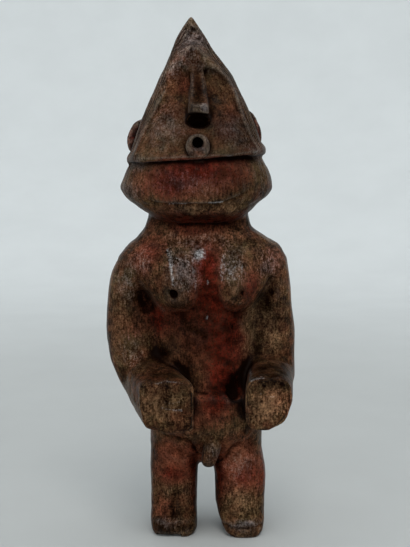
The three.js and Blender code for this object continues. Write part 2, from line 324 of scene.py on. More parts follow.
@dataclass
class Block:
    """A block to carve: a box of grid points, each with its distance from the wood, below zero inside."""

    low: Place
    high: Place
    pitch: float = GRID_PITCH
    spare: float = 2.0

    def __post_init__(self) -> None:
        """Starts with no wood in the block."""
        self.axes = [
            np.arange(low, high + self.pitch, self.pitch, dtype=np.float32)
            for low, high in zip(self.low, self.high)
        ]
        self.distance = np.full([len(axis) for axis in self.axes], FAR, dtype=np.float32)

    def round_form(self, form: "Form", width: float) -> tuple[tuple[slice, ...], list[Array]]:
        """The part of the block round a form.

        Args:
            form: The form.
            width: How far its joint with the wood is rounded.

        Returns:
            The part's slices, and its x, y and z, shaped to be combined.
        """
        margin = self.spare + width
        slices = tuple(
            slice(int(np.searchsorted(axis, low - margin)), int(np.searchsorted(axis, high + margin)))
            for axis, low, high in zip(self.axes, *form.span())
        )
        x, y, z = (axis[part] for axis, part in zip(self.axes, slices))
        return slices, [x[:, None, None], y[None, :, None], z[None, None, :]]

    def add(self, form: "Form", width: float) -> None:
        """Joins a form to the wood, with its inner corners rounded over width."""
        part, place = self.round_form(form, width)
        self.distance[part] = melt(self.distance[part], form.distance(*place), width)

    def take(self, form: "Form", width: float) -> None:
        """Pares a form out of the wood, with its edges rounded over width."""
        part, place = self.round_form(form, width)
        self.distance[part] = pare(self.distance[part], form.distance(*place), width)

    def sample(self, points: Array) -> Array:
        """The distance from the wood at any points.

        Formula: the grid points round a point are blended along the three axes by how near they are.
        Outside the block, the way back to it is added.

        Args:
            points: Rows of x, y and z.

        Returns:
            One distance for each point.
        """
        lattice = (points - np.array(self.low, dtype=np.float32)) / self.pitch
        top = np.array(self.distance.shape) - 1.001
        held = np.clip(lattice, 0.0, top)
        base = held.astype(np.int32)
        share = (held - base).astype(np.float32)
        total = self.pitch * np.linalg.norm(lattice - held, axis=1)
        for corner in itertools.product((0, 1), repeat=3):
            weight = np.prod(np.where(np.array(corner, dtype=bool), share, 1.0 - share), axis=-1)
            i, j, k = (base + np.array(corner)).T
            total += weight * self.distance[i, j, k]
        return total

    def openness(self, points: Array, ways: Array, reach: float) -> Array:
        """How freely the distance grows along a way: 1 in the open, and less where more wood stands near.

        Formula: the distance at reach along the way less the distance at the point, over reach, held from
        0 to 1.

        Args:
            points: Rows of x, y and z.
            ways: The way that each point faces.
            reach: How far to look; below zero it looks into the wood.

        Returns:
            One share for each point.
        """
        return np.clip((self.sample(points + reach * ways) - self.sample(points)) / reach, 0.0, 1.0)

    def skin(self) -> tuple[Array, Array]:
        """The surface of the wood as a mesh of four-sided faces.

        Formula: every grid cell that the surface passes through gets one vertex, at the mean of the
        places where its edges cross the surface, and every grid edge that crosses the surface gets one
        face, between the vertices of the four cells round it.

        Returns:
            The vertices, and the faces as rows of four vertex numbers, facing out.
        """
        inside = self.distance < 0.0
        shape = tuple(n - 1 for n in inside.shape)
        corners = list(itertools.product((0, 1), repeat=3))
        count = np.zeros(shape, dtype=np.uint8)
        for i, j, k in corners:
            count += inside[i : i + shape[0], j : j + shape[1], k : k + shape[2]]
        crossed = (count > 0) & (count < 8)
        cells = np.argwhere(crossed)
        numbers = np.full(shape, -1, dtype=np.int32)
        numbers[crossed] = np.arange(len(cells))
        columns = [self.distance[tuple((cells + corner).T)] for corner in np.array(corners)]
        heights = np.stack(columns, axis=1)
        total = np.zeros((len(cells), 3), dtype=np.float32)
        hits = np.zeros((len(cells), 1), dtype=np.float32)
        for first, second in itertools.combinations(range(8), 2):
            start, end = np.array(corners[first]), np.array(corners[second])
            if np.abs(end - start).sum() != 1:
                continue
            a, b = heights[:, first], heights[:, second]
            crosses = (a < 0.0) != (b < 0.0)
            share = np.where(crosses, a / np.where(crosses, a - b, 1.0), 0.0)[:, None]
            total += np.where(crosses[:, None], start + share * (end - start), 0.0)
            hits += crosses[:, None]
        points = np.array(self.low, dtype=np.float32) + self.pitch * (cells + total / hits)
        faces = []
        for axis in range(3):
            after, last = (axis + 1) % 3, (axis + 2) % 3
            here = [slice(None)] * 3
            there = [slice(None)] * 3
            here[axis], there[axis] = slice(None, -1), slice(1, None)
            first, second = inside[tuple(here)], inside[tuple(there)]
            edges = np.argwhere(first != second)
            steps = np.zeros((4, 3), dtype=np.int64)
            steps[[0, 3], after] = -1
            steps[[0, 1], last] = -1
            quads = np.stack([numbers[tuple((edges + step).T)] for step in steps], axis=1)
            backwards = second[tuple(edges.T)]
            quads[backwards] = quads[backwards][:, ::-1]
            faces.append(quads)
        return points.astype(np.float64), np.concatenate(faces)


class Form:
    """Something that can be added to the block or taken from it."""

    def span(self) -> Span:
        """The lowest and the highest corner of the form."""
        raise NotImplementedError

    def distance(self, x: Array, y: Array, z: Array) -> Array:
        """How far points lie outside the form, below zero inside it."""
        raise NotImplementedError


class Axis(Enum):
    """The way that the sections of a mass follow each other."""

    UPRIGHT = "z"
    FORWARD = "y"


def box_round(middle: Place, room: Place) -> Span:
    """The lowest and the highest corner of a box round middle, room away from it along each axis."""
    return tuple(m - r for m, r in zip(middle, room)), tuple(m + r for m, r in zip(middle, room))


def no_relief(x: Array, z: Array) -> Array:
    """A plain side: nothing is raised or sunk."""
    return np.zeros(np.broadcast(x, z).shape, dtype=np.float32)


@dataclass(frozen=True)
class Mass(Form):
    """A rounded mass of wood, given by sections through it.

    A station of an upright mass is its height, left, right, front, back and squareness; one of a forward
    mass is its y, left, right, low, high and squareness. 2 is an ellipse and 4 is nearly a box. tilt
    raises the levels by its share of x, ends is how far the two ends are rounded, bevel pares the lower
    outer edge of a forward mass, and front and behind are the reliefs of an upright one.
    """

    stations: Stations
    axis: Axis = Axis.UPRIGHT
    tilt: float = 0.0
    ends: float = 0.8
    bevel_side: int = 0
    bevel: float = 0.0
    front: Relief = no_relief
    behind: Relief = no_relief
    front_room: float = 8.8
    back_room: float = 4.0

    def span(self) -> Span:
        """The corners of a box round the mass.

        Returns:
            The lowest and the highest corner, with room for the tilt and the reliefs.
        """
        table = np.array(self.stations)
        levels = (table[0, 0], table[-1, 0])
        across = (table[:, 1].min(), table[:, 2].max())
        along = (table[:, 3].min(), table[:, 4].max())
        if self.axis is Axis.FORWARD:
            return tuple(zip(across, levels, along))
        lift = abs(self.tilt) * max(abs(across[0]), abs(across[1]))
        depth = (along[0] - self.front_room, along[1] + self.back_room)
        return tuple(zip(across, depth, (levels[0] - lift, levels[1] + lift)))

    def distance(self, x: Array, y: Array, z: Array) -> Array:
        """How far points lie outside the mass.

        Formula: in each section, r is the superellipse norm (|u/a|^n + |v/b|^n)^(1/n) of the place about
        the section's middle, and the distance is the place's length times 1 - 1/r. The front half-depth
        is raised by the relief in front and the back one by the relief behind. A bevel adds to r the
        product of u/a and -v/b, where both point to its edge. The two end planes are joined in as the
        larger distance, rounded.

        Args:
            x: Across, to the right.
            y: Back.
            z: Up.

        Returns:
            The distances.
        """
        upright = self.axis is Axis.UPRIGHT
        level = z - self.tilt * x if upright else y
        along = y if upright else z
        low, high, near, far, square = read_stations(self.stations, level)
        u = x - (low + high) / 2
        v = along - (near + far) / 2
        half = (high - low) / 2
        reach = (far - near) / 2
        if upright:
            reach = np.where(v < 0, reach + self.front(x, z), reach + self.behind(x, z))
        reach = np.maximum(reach, 0.05).astype(np.float32)
        wide = np.abs(u / half)
        deep = np.abs(v / reach)
        norm = np.maximum(wide**square + deep**square, 1e-6) ** (1.0 / square)
        if self.bevel:
            pull = 1.5 * self.bevel * np.maximum(self.bevel_side * u / half, 0)
            norm = norm * (1.0 + pull * np.maximum(-v / reach, 0))
        gap = np.hypot(u, v) * (1.0 - 1.0 / norm)
        first, last = self.stations[0][0], self.stations[-1][0]
        planes = np.maximum(first - level, level - last)
        return pare(gap, -planes, self.ends).astype(np.float32)


@dataclass(frozen=True)
class Egg(Form):
    """An egg shape, turned about the front-to-back axis; a turn above zero moves its top to the right."""

    middle: Place
    radii: Place
    turn: float = 0.0

    def span(self) -> Span:
        """The corners of a box round the egg at any turn."""
        return box_round(self.middle, (max(self.radii),) * 3)

    def distance(self, x: Array, y: Array, z: Array) -> Array:
        """How far points lie outside: k(k - 1)/g, where k is the length of p/r and g the length of p/r².

        Args:
            x: Across, to the right.
            y: Back.
            z: Up.

        Returns:
            The distances.
        """
        cos, sin = math.cos(self.turn), math.sin(self.turn)
        u, v, w = x - self.middle[0], y - self.middle[1], z - self.middle[2]
        u, w = u * cos - w * sin, u * sin + w * cos
        a, b, c = self.radii
        k = np.sqrt((u / a) ** 2 + (v / b) ** 2 + (w / c) ** 2)
        g = np.sqrt((u / a**2) ** 2 + (v / b**2) ** 2 + (w / c**2) ** 2)
        return (k * (k - 1.0) / np.maximum(g, 1e-4)).astype(np.float32)


@dataclass(frozen=True)
class Roll(Form):
    """A straight roll with round ends and one radius at each end."""

    start: Place
    end: Place
    start_radius: float
    end_radius: float

    def span(self) -> Span:
        """The corners of a box round the roll.

        Returns:
            The lowest and the highest corner.
        """
        room = max(self.start_radius, self.end_radius)
        pairs = list(zip(self.start, self.end))
        return tuple(min(pair) - room for pair in pairs), tuple(max(pair) + room for pair in pairs)

    def distance(self, x: Array, y: Array, z: Array) -> Array:
        """How far points lie outside: the distance from the middle line, less the radius there.

        Args:
            x: Across, to the right.
            y: Back.
            z: Up.

        Returns:
            The distances.
        """
        line = np.subtract(self.end, self.start)
        dot = (x - self.start[0]) * line[0] + (y - self.start[1]) * line[1] + (z - self.start[2]) * line[2]
        share = np.clip(dot / float(line @ line), 0.0, 1.0)
        gaps = [c - s - share * run for c, s, run in zip((x, y, z), self.start, line)]
        radius = self.start_radius + share * (self.end_radius - self.start_radius)
        return (np.sqrt(gaps[0] ** 2 + gaps[1] ** 2 + gaps[2] ** 2) - radius).astype(np.float32)


@dataclass(frozen=True)
class Ring(Form):
    """A ring round a front-to-back axis, thicker below than above."""

    middle: Place
    radius: float
    thin: float
    thick: float

    def span(self) -> Span:
        """The corners of a box round the ring."""
        return box_round(self.middle, (self.radius + self.thick,) * 3)

    def distance(self, x: Array, y: Array, z: Array) -> Array:
        """How far points lie outside: the distance from the circle, less a radius that grows downwards.

        Args:
            x: Across, to the right.
            y: Back.
            z: Up.

        Returns:
            The distances.
        """
        u, v, w = x - self.middle[0], y - self.middle[1], z - self.middle[2]
        out = np.hypot(u, w)
        below = 0.5 - 0.5 * w / np.maximum(out, 0.01)
        extra = (self.thick - self.thin) * below
        return (np.hypot(out - self.radius, v) - self.thin - extra).astype(np.float32)


@dataclass(frozen=True)
class Bore(Form):
    """A round hole that runs straight back."""

    middle: Place
    radius: float
    depth: float

    def span(self) -> Span:
        """The corners of a box round the hole."""
        return box_round(self.middle, (self.radius, self.depth / 2, self.radius))

    def distance(self, x: Array, y: Array, z: Array) -> Array:
        """How far points lie outside: the larger of the distances from the wall and from the end planes."""
        wall = np.hypot(x - self.middle[0], z - self.middle[2]) - self.radius
        return np.maximum(wall, np.abs(y - self.middle[1]) - self.depth / 2).astype(np.float32)


@dataclass(frozen=True)
class Chunk(Form):
    """A square-edged chunk, turned about the upright axis."""

    middle: Place
    size: Place
    turn: float

    def span(self) -> Span:
        """The corners of a box round the chunk at any turn."""
        return box_round(self.middle, (math.hypot(*self.size) / 2,) * 3)

    def distance(self, x: Array, y: Array, z: Array) -> Array:
        """How far points lie outside: the largest of the distances from the three pairs of sides.

        Args:
            x: Across, to the right.
            y: Back.
            z: Up.

        Returns:
            The distances.
        """
        cos, sin = math.cos(self.turn), math.sin(self.turn)
        u, v, w = x - self.middle[0], y - self.middle[1], z - self.middle[2]
        u, v = u * cos + v * sin, v * cos - u * sin
        gaps = [np.abs(gap) - side / 2 for gap, side in zip((u, v, w), self.size)]
        return np.maximum(np.maximum(gaps[0], gaps[1]), gaps[2]).astype(np.float32)


# The parts of the figure


@dataclass(frozen=True)
class Ear:
    """A lug that leans in with the side of the cap, hollowed towards the front."""

    side: int
    middle: Place
    wide: float
    tall: float
    lean: float

    def carve(self, block: Block) -> None:
        """Adds the ear to the block and hollows it.

        Args:
            block: The block.
        """
        x, y, z = self.middle
        turn = self.side * -self.lean
        block.add(Egg(self.middle, (self.wide, 3.0, self.tall), turn), 0.8)
        block.take(Egg((x + self.side * 2.6, y - 3.8, z - 1), (1.8, 1.2, self.tall * 0.55), turn), 1.2)


@dataclass(frozen=True)
class Head:
    """The pointed head: a cap with a sunk face, a long nose, a ring mouth, two ears and a heavy jaw."""

    tilt: float = 0.065
    sunk_at_brow: float = 2.8
    sunk_at_brim: float = 1.6
    tip_sunk: float = 2.2
    forehead_swell: float = 1.6
    forehead_dip: float = 1.7
    arch_height: float = 2.2
    rim_height: float = 0.8
    socket_depth: float = 1.4
    nose_dish: float = 1.0
    mouth: Place = (-0.9, -41.0, 229.2)
    cap: Stations = (
        (221.2, -40.8, 37, -40.2, 40.5, 2.8),
        (223.6, -40.8, 37, -41, 40.5, 2.8),
        (228, -38.8, 34.6, -39, 39.5, 2.9),
        (236.5, -36, 31.6, -35.2, 36.5, 2.9),
        (245.7, -32.8, 27.9, -30.8, 32.5, 2.8),
        (254.7, -28.7, 23.7, -26.4, 27.5, 2.7),
        (263.8, -24.7, 19.4, -22, 22, 2.6),
        (268.4, -22.6, 16.6, -19.8, 19.3, 2.6),
        (272.8, -20.1, 13.4, -17.5, 16.5, 2.8),
        (280, -16.9, 8.1, -13.4, 12, 2.8),
        (285.6, -14.7, 5, -9.8, 9, 2.6),
        (291.2, -12, 1.8, -6.2, 6, 2.4),
        (296.8, -8, -2.1, -2.8, 2.8, 2),
        (300.3, -5.3, -4.5, -0.4, 0.4, 2),
    )
    jaw: Stations = (
        (184, -26, 25, -21, 27, 2.2),
        (188.5, -29, 27, -31, 31, 2.3),
        (191, -32.8, 29.8, -35, 34, 2.3),
        (195.8, -39, 34.6, -37.4, 37.5, 2.3),
        (197, -40.6, 36.2, -38.6, 38.4, 2.3),
        (200, -43.8, 39.6, -39, 41.8, 2.3),
        (204, -45.8, 41.6, -38.5, 43.6, 2.4),
        (209, -44, 41, -38, 43.4, 2.5),
        (214, -41.8, 39.2, -37.4, 41, 2.5),
        (218, -39.6, 37.0, -36.2, 38.6, 2.5),
        (221, -38.4, 35.6, -34.6, 38, 2.5),
        (226, -38, 35, -31, 38, 2.5),
    )
    nose: Stations = (
        (245.0, -6.2, 5.2, -36.6, -22, 7),
        (248.6, -6.1, 4.9, -37.2, -20, 7),
        (253, -5.6, 4.4, -32.3, -18, 7),
        (261, -5.2, 3.4, -25.2, -14, 8),
        (268, -4.9, 2.2, -20.8, -10, 6),
        (273, -4.6, 1.6, -18.0, -8, 4),
        (278, -4.0, 0.8, -13.5, -6, 3),
    )
    face_edge: Path = (
        (-37.5, 214), (-35.4, 224.5), (-28.8, 239.2), (-22.4, 251), (-19.2, 260.7), (-13.6, 267.9),
        (-7.4, 269.6), (-2, 267.4), (3.6, 270), (9.2, 269), (14.8, 264), (18.6, 257), (21.8, 247.3),
        (27.2, 233.8), (32, 225.6), (34.5, 214),
    )
    hairline: Path = (
        (-38.6, 222), (-30.2, 239.6), (-23.8, 251.6), (-20.4, 261.6), (-17.4, 271), (-14.6, 281.3),
        (-10, 284.4), (-3.4, 294.6), (-2.4, 294.4), (2.1, 284.4), (4.8, 278.2), (9.8, 271.4), (15.8, 264.8),
        (19.7, 257.4), (22.8, 247.8), (28.2, 234.4), (34.6, 222),
    )
    tip_facet: Path = (
        (-4.4, 293.5), (-7.4, 289.2), (-9.6, 285.2), (-5.5, 286.6), (-1.5, 285.6), (1.2, 287.2),
        (-1.8, 292.6),
    )
    arch: Path = (
        (-13.2, 271.5), (-9.4, 279), (-4.8, 282.6), (-0.6, 281.2), (3.4, 275.4), (9, 271.2), (14.2, 267),
        (18.2, 260.5), (21, 253),
    )
    eye_sockets: Path = ((-12.4, 261.2), (9.9, 262.4))
    brim_ends: tuple[tuple[Roll, float], ...] = (
        (Roll((-29.5, -28.5, 221.6), (-37.2, -10, 219.6), 2.6, 3.3), 2.4),
        (Roll((28.6, -27.0, 225.0), (33.6, -8, 225.0), 2.2, 3.0), 2.2),
    )
    ears: tuple[Ear, ...] = (
        Ear(LEFT, (-35.2, 2.4, 233), wide=6.2, tall=10.6, lean=0.32),
        Ear(RIGHT, (29, 2.4, 237.6), wide=5.4, tall=11, lean=0.36),
    )
    chipped: tuple[tuple[Form, float], ...] = (
        (Egg((-0.9, -34, 241.5), (6.7, 10.0, 4.1), 0.08), 0.9),  # the hollow under the nose
        (Chunk((-6.6, -38.5, 247.5), (5, 6, 8), 0.5), 1.4),
        (Egg((3.6, -40.0, 246.6), (4.6, 4.0, 2.6), 0.5), 1.2),
    )

    def face_relief(self, x: Array, z: Array) -> Array:
        """How far the front of the cap is raised or sunk at a place of the front view.

        Formula: the forehead's bell and a bell along the arch over the nose's root, less a bell of a dip
        at that root and an S-curve over the flat facet at the tip; plus a narrow bell along the outside
        of the face's edge and low broad ones on the cheeks; less the face's depth, which grows from the
        brim to the brow, times an S-curve over the signed distance from its edge, and less an S-curve
        over each eye socket.

        Args:
            x: Across, to the right.
            z: Up.

        Returns:
            The relief, above zero where it is raised.
        """
        level = z - self.tilt * x
        forehead = self.forehead_swell * swell(level - 275, 5.5) * swell(x + 2, 10)
        forehead = forehead + self.arch_height * swell(path_distance(x, z, eased(self.arch, 4)), 2.3)
        forehead = forehead - self.forehead_dip * swell(x + 0.8, 4.4) * swell(level - 273.4, 4.2)
        facet = region_distance(x, z, eased(self.tip_facet, 3))
        forehead = forehead - self.tip_sunk * smoothstep(-facet, -0.8, 0.8)
        edge = region_distance(x, z, eased(self.face_edge))
        soft = 0.3 * smoothstep(-x, 8, 26) + smoothstep(z, 246, 262) * (0.7 + 1.3 * smoothstep(-x, -2, 6))
        inside_face = smoothstep(-edge, -0.7 - soft, 0.9 + 1.6 * soft)
        share = np.clip((z - 222) / 46, 0.0, 1.0)
        sunk = self.sunk_at_brim + share * (self.sunk_at_brow - self.sunk_at_brim)
        left_brow = smoothstep(-x, 2, 8) * smoothstep(z, 250, 260)
        rim = self.rim_height * swell(edge - 0.9, 0.85) * smoothstep(z, 223, 230) * (1.0 - 0.8 * left_brow)
        rim = rim * (1.0 - smoothstep(z, 266, 274))
        sockets = sum(
            1.0 - smoothstep(np.hypot((x - middle) / 7.8, (z - height) / 9.6), 0.25, 1.1)
            for middle, height in self.eye_sockets
        )
        upper = 1.0 - smoothstep(z, 272, 280)
        cheeks = 0.9 * (swell(x + 20, 8) + swell(x - 16, 8)) * swell(z - 238, 11)
        sunk_face = upper * (sunk * inside_face + self.socket_depth * sockets)
        return (forehead + rim - sunk_face + cheeks).astype(np.float32)

    def nose_relief(self, x: Array, z: Array) -> Array:
        """The flat of the nose is dished between its two arrises: a bell along its middle."""
        middle = -0.5 - 0.03 * (z - 247)
        return (-self.nose_dish * swell(x - middle, 3.2) * smoothstep(z, 248.5, 252)).astype(np.float32)

    def carve(self, block: Block) -> None:
        """Adds the head to the block: jaw, cap, brim, ears, nose and mouth, then the hollows.

        Args:
            block: The block.
        """
        block.add(Mass(self.jaw, ends=0.8), 1.6)
        block.add(Mass(self.cap, tilt=self.tilt, ends=1.0, front=self.face_relief), 0.5)
        for roll, width in self.brim_ends:
            block.add(roll, width)
        for ear in self.ears:
            ear.carve(block)
        block.add(Mass(self.nose, ends=1.2, front=self.nose_relief), 0.8)
        x, y, z = self.mouth
        block.add(Bore((x, y + 5, z - 0.4), 5.4, 12.0), 1.2)
        block.add(Ring((x, y - 0.4, z - 0.7), 4.6, 1.0, 2.4), 0.6)
        for form, width in self.chipped:
            block.take(form, width)
        block.take(Bore((x, y, z + 0.4), 3.0, 14), 0.6)


@dataclass(frozen=True)
class Trunk:
    """The neck, chest, belly and buttocks, with the genital peg."""

    breasts_x: tuple[float, float] = (-13.0, 22.5)
    blades_x: tuple[float, float] = (-19.0, 25.0)
    buttocks_x: tuple[float, float] = (-14.0, 20.0)
    breast_swell: float = 7.0
    pectoral_edge: float = 1.1
    lower_belly_swell: float = 3.7
    lower_belly_edge: float = 1.2
    waist_depth: float = 0.8
    collar_depth: float = 0.7
    blade_swell: float = 1.8
    buttock_swell: float = 1.3
    spine_depth: float = 2.9
    cleft_depth: float = 5.0
    torso: Stations = (
        (41, -12, 18, -4, 14, 2),
        (46, -26, 33, -12, 27, 2.2),
        (53, -29, 36.5, -18, 36, 2.7),
        (60, -29.5, 37, -20.5, 39.4, 3.0),
        (68, -29.3, 36.8, -21.5, 39.8, 3.1),
        (76, -28.4, 36, -22, 37, 3.1),
        (84, -27.2, 34.5, -21.8, 31.5, 3.0),
        (91, -26.4, 32.8, -20.8, 27, 2.8),
        (99, -25.8, 31.6, -20.6, 23.6, 2.6),
        (110, -26, 31.4, -20.8, 22, 2.5),
        (122, -27.6, 32.6, -21.0, 23.4, 2.4),
        (131, -30, 34.6, -21.2, 25.8, 2.4),
        (135.5, -31.8, 36.4, -21.6, 27, 2.4),
        (141.5, -35, 39.4, -22.3, 28.6, 2.5),
        (147, -38.6, 42.6, -23, 29.6, 2.6),
        (154, -43, 45.8, -24.2, 30.2, 2.6),
        (161, -45, 47.2, -24.8, 30, 2.6),
        (168, -42.5, 46.2, -24, 29, 2.5),
        (175, -36.5, 38.4, -22, 28, 2.3),
        (182, -31.8, 29.8, -21, 28, 2.2),
        (197, -28, 26.5, -20.5, 28, 2.2),
    )
    peg: Stations = (
        (45.2, 2.2, 8.0, -26.2, -19, 2.6),
        (48, 1.0, 9.4, -28.2, -16, 2.8),
        (56, 1.8, 12.2, -28.2, -12, 2.4),
        (66, 4, 13.6, -22.8, -10, 2),
    )
    lower_belly: Path = (
        (-27, 66), (-20, 62), (-11.4, 61.4), (-5.6, 59), (0.5, 51), (13, 50), (19.5, 57), (27.4, 60.5),
        (33, 66), (33, 86), (3.6, 88.4), (-1.6, 88.8), (-27, 88),
    )
    left_pectoral: Path = (
        (-33, 171), (-32.5, 158), (-28.6, 147.5), (-25.8, 141), (-20.6, 136.2), (-13, 134.6), (-6, 135.8),
        (-1.6, 141), (-0.4, 152), (-1.5, 168),
    )
    right_pectoral: Path = (
        (41, 170), (40, 158), (36.6, 147.5), (34, 141), (29.6, 136.2), (22.5, 134.4), (15.8, 136),
        (11.6, 141), (10.4, 152), (11, 168),
    )

    def breast(self, side: Array, z: Array) -> Array:
        """How far a breast stands out, from 0 to 1.

        Formula: a bell across, times an S-curve up from an arc at its lower edge, times an S-curve down
        to the upper chest.

        Args:
            side: Distance from the breast's middle, to the right.
            z: Up.

        Returns:
            The height.
        """
        arc = 133 + 0.03 * side * side
        return swell(side, 11.5) * smoothstep(z, arc, arc + 8.5) * (1.0 - smoothstep(z, 146, 172))

    def front_relief(self, x: Array, z: Array) -> Array:
        """How far the front of the trunk is raised or sunk at a place of the front view.

        Formula: the breasts, an S-curve over each edge of the pectorals and of the lower belly, and a
        bell over the lower belly, each times how far it stands out, less bells over the waist and the
        collar.

        Args:
            x: Across, to the right.
            z: Up.

        Returns:
            The relief, above zero where it is raised.
        """
        breasts = sum(self.breast(x - middle, z) for middle in self.breasts_x)
        fade = 1.0 - smoothstep(z, 152, 168)
        pectorals = sum(
            smoothstep(-region_distance(x, z, eased(path, 4)), -1.0, 1.4)
            for path in (self.left_pectoral, self.right_pectoral)
        )
        bulge = smoothstep(z, 52, 66) * (1.0 - smoothstep(z, 84, 92)) * swell(x - 6, 24)
        apron = smoothstep(-region_distance(x, z, eased(self.lower_belly, 4)), -2.0, 3.0)
        waist = self.waist_depth * swell(z - 112, 14) * swell(x - 4, 16)
        collar = self.collar_depth * swell(z - 174.5, 2.6) * (1.0 - smoothstep(np.abs(x - 3), 22, 32))
        relief = self.breast_swell * breasts + self.pectoral_edge * fade * pectorals
        relief = relief + self.lower_belly_swell * bulge + self.lower_belly_edge * apron
        return (relief - waist - collar).astype(np.float32)

    def back_relief(self, x: Array, z: Array) -> Array:
        """How far the back of the trunk is raised or sunk at a place of the front view.

        Formula: bells over the shoulder blades and the buttocks, less a bell across times S-curves up and
        down for the spine, and for the cleft of the buttocks.

        Args:
            x: Across, to the right.
            z: Up.

        Returns:
            The relief, above zero where it is raised.
        """
        spine = smoothstep(z, 78, 96) * (1.0 - smoothstep(z, 165, 182)) * swell(x - 3, 5)
        cleft = smoothstep(z, 42, 50) * (1.0 - smoothstep(z, 66, 82)) * swell(x - 3, 4)
        blades = sum(swell(x - middle, 12) for middle in self.blades_x) * swell(z - 152, 17)
        fold = smoothstep(z, 46, 55) * (1.0 - smoothstep(z, 70, 84))
        buttocks = sum(swell(x - middle, 14) for middle in self.buttocks_x) * fold
        relief = self.blade_swell * blades + self.buttock_swell * buttocks
        return (relief - self.spine_depth * spine - self.cleft_depth * cleft).astype(np.float32)

    def carve(self, block: Block) -> None:
        """Adds the trunk to the block."""
        block.add(Mass(self.torso, ends=2.0, front=self.front_relief, behind=self.back_relief), 1.0)

    def hang_peg(self, block: Block) -> None:
        """Adds the peg, once the legs are there."""
        block.add(Mass(self.peg, ends=1.6), 1.0)


@dataclass(frozen=True)
class Arm:
    """A thick arm that hangs from the shoulder, with a forearm that is broken off in front of the belly."""

    side: int
    upper: Stations
    forearm: Stations
    bevel: float
    web: Roll

    def carve(self, block: Block) -> None:
        """Adds the arm to the block, with wood left standing between it and the trunk.

        Args:
            block: The block.
        """
        block.add(Mass(self.upper, ends=3.0), 6.0)
        block.add(self.web, 6.0)
        block.add(Mass(self.forearm, Axis.FORWARD, ends=1.2, bevel_side=self.side, bevel=self.bevel), 4.0)


LEFT_ARM = Arm(
    LEFT,
    upper=(
        (78, -38, -22, -2, 10, 2.2),
        (84, -43.3, -21, -8, 17, 2.3),
        (92, -48.4, -19, -11, 21, 2.4),
        (105, -53.1, -20, -12.5, 23, 2.4),
        (124, -54.9, -23, -12.5, 22.5, 2.4),
        (141, -54, -28, -13.5, 21.5, 2.4),
        (153, -52.2, -30, -14.5, 21, 2.3),
        (162.5, -47.6, -26, -14, 19, 2.2),
        (170, -40.5, -24, -9, 15, 2),
    ),
    forearm=(
        (STUMP_END_Y, -32.8, -3.2, 70.5, 98.4, 9),
        (-30, -37.6, -5.5, 70, 101, 4),
        (-16, -42, -12, 71.5, 105, 2.6),
        (0, -45.6, -20, 77, 109, 2.4),
        (14, -44, -25, 84, 108, 2.3),
    ),
    bevel=0.22,
    web=Roll((-26.5, -3.5, 118), (-29.5, -3.5, 134), 4.5, 4.0),
)
RIGHT_ARM = Arm(
    RIGHT,
    upper=(
        (74, 28, 49, -2, 10, 2.2),
        (80, 26.5, 53.6, -8, 17, 2.3),
        (90, 26, 55.2, -11, 21, 2.4),
        (105, 27, 55.6, -12.5, 23, 2.4),
        (119, 31, 55.8, -12.5, 22.5, 2.4),
        (134, 35, 53.6, -13, 21.5, 2.4),
        (150, 35, 52.8, -14, 21, 2.3),
        (161, 30, 50.6, -14, 19, 2.2),
        (170, 26, 44.5, -9, 15, 2),
    ),
    forearm=(
        (STUMP_END_Y, 25.3, 50.8, 72, 100.7, 4.0),
        (-30, 25.8, 52.2, 71.5, 103, 3),
        (-16, 26, 53.6, 72.5, 106, 2.6),
        (0, 27, 54.5, 77, 109, 2.4),
        (14, 29, 53, 84, 108, 2.3),
    ),
    bevel=0.36,
    web=Roll((32.5, -4.5, 106), (35.5, -4.5, 136), 5.0, 4.5),
)


@dataclass(frozen=True)
class Leg:
    """A short straight leg with a squared foot."""

    stations: Stations

    def carve(self, block: Block) -> None:
        """Adds the leg to the block; its sole stays flat and square-edged."""
        block.add(Mass(self.stations, ends=0.5), 2.4)


LEFT_LEG = Leg((
    (0, -27.5, -3, -16.5, 20, 3.2),
    (3, -29, -2, -18.5, 21, 3.2),
    (8, -29.4, -1.8, -17.5, 21, 3),
    (13, -29.3, -1.7, -14, 20.5, 2.8),
    (22, -29.3, -1.6, -12.5, 20, 2.8),
    (37, -29.7, -1.2, -13.5, 22, 2.7),
    (50, -28.8, 2.5, -15.5, 26, 2.5),
    (66, -25, 3, -12, 22, 2.4),
))
RIGHT_LEG = Leg((
    (0, 16.5, 36, -17.5, 20, 3.2),
    (3, 14, 37.4, -19.5, 21, 3.2),
    (8, 12, 38.2, -18.5, 21, 3),
    (12, 10.6, 38.3, -14.5, 20.5, 2.8),
    (22, 9.2, 38.6, -12.5, 20, 2.8),
    (32, 8.9, 39, -13.5, 22, 2.7),
    (50, 5.5, 36.6, -15.5, 26, 2.5),
    (66, 4, 33, -12, 22, 2.4),
))


@dataclass(frozen=True)
class Hollows:
    """What is pared out between the limbs and the trunk, the nipples, and what broke off the left foot."""

    deep: tuple[Form, ...] = (
        Egg((-31.2, -16.8, 139.2), (5.2, 7.4, 9.4), -0.3),
        Roll((41.4, -14.8, 152), (36.2, -14.4, 137), 1.9, 3.6),
        Roll((-30.5, -16.8, 136), (-26.0, -17.6, 113), 4.2, 3.0),
        Roll((37.0, -17.0, 138), (31.0, -17.4, 112), 3.2, 2.4),
        Egg((-22.0, -18.0, 109.4), (4.2, 4.6, 3.0), 0.5),
        Egg((20.6, -21.0, 91.0), (5.4, 5.0, 8.0), 0.4),
    )
    nipples: tuple[Egg, ...] = (
        Egg((-14.8, -30.0, 145.9), (2.9, 4.2, 2.9)),
        Egg((24, -30.4, 146.1), (2.0, 3.6, 2.2)),
    )
    breaks: tuple[Chunk, ...] = (
        Chunk((-22, -22.4, 2), (25, 12, 17), -0.04),
        Chunk((-21, -18, 0), (20, 12, 3.4), 0.1),
    )

    def carve(self, block: Block) -> None:
        """Takes the hollows out of the block, each kind with its own rounding of the edges.

        Args:
            block: The block.
        """
        for forms, width in ((self.deep, 3.4), (self.nipples, 0.8), (self.breaks, 1.6)):
            for form in forms:
                block.take(form, width)


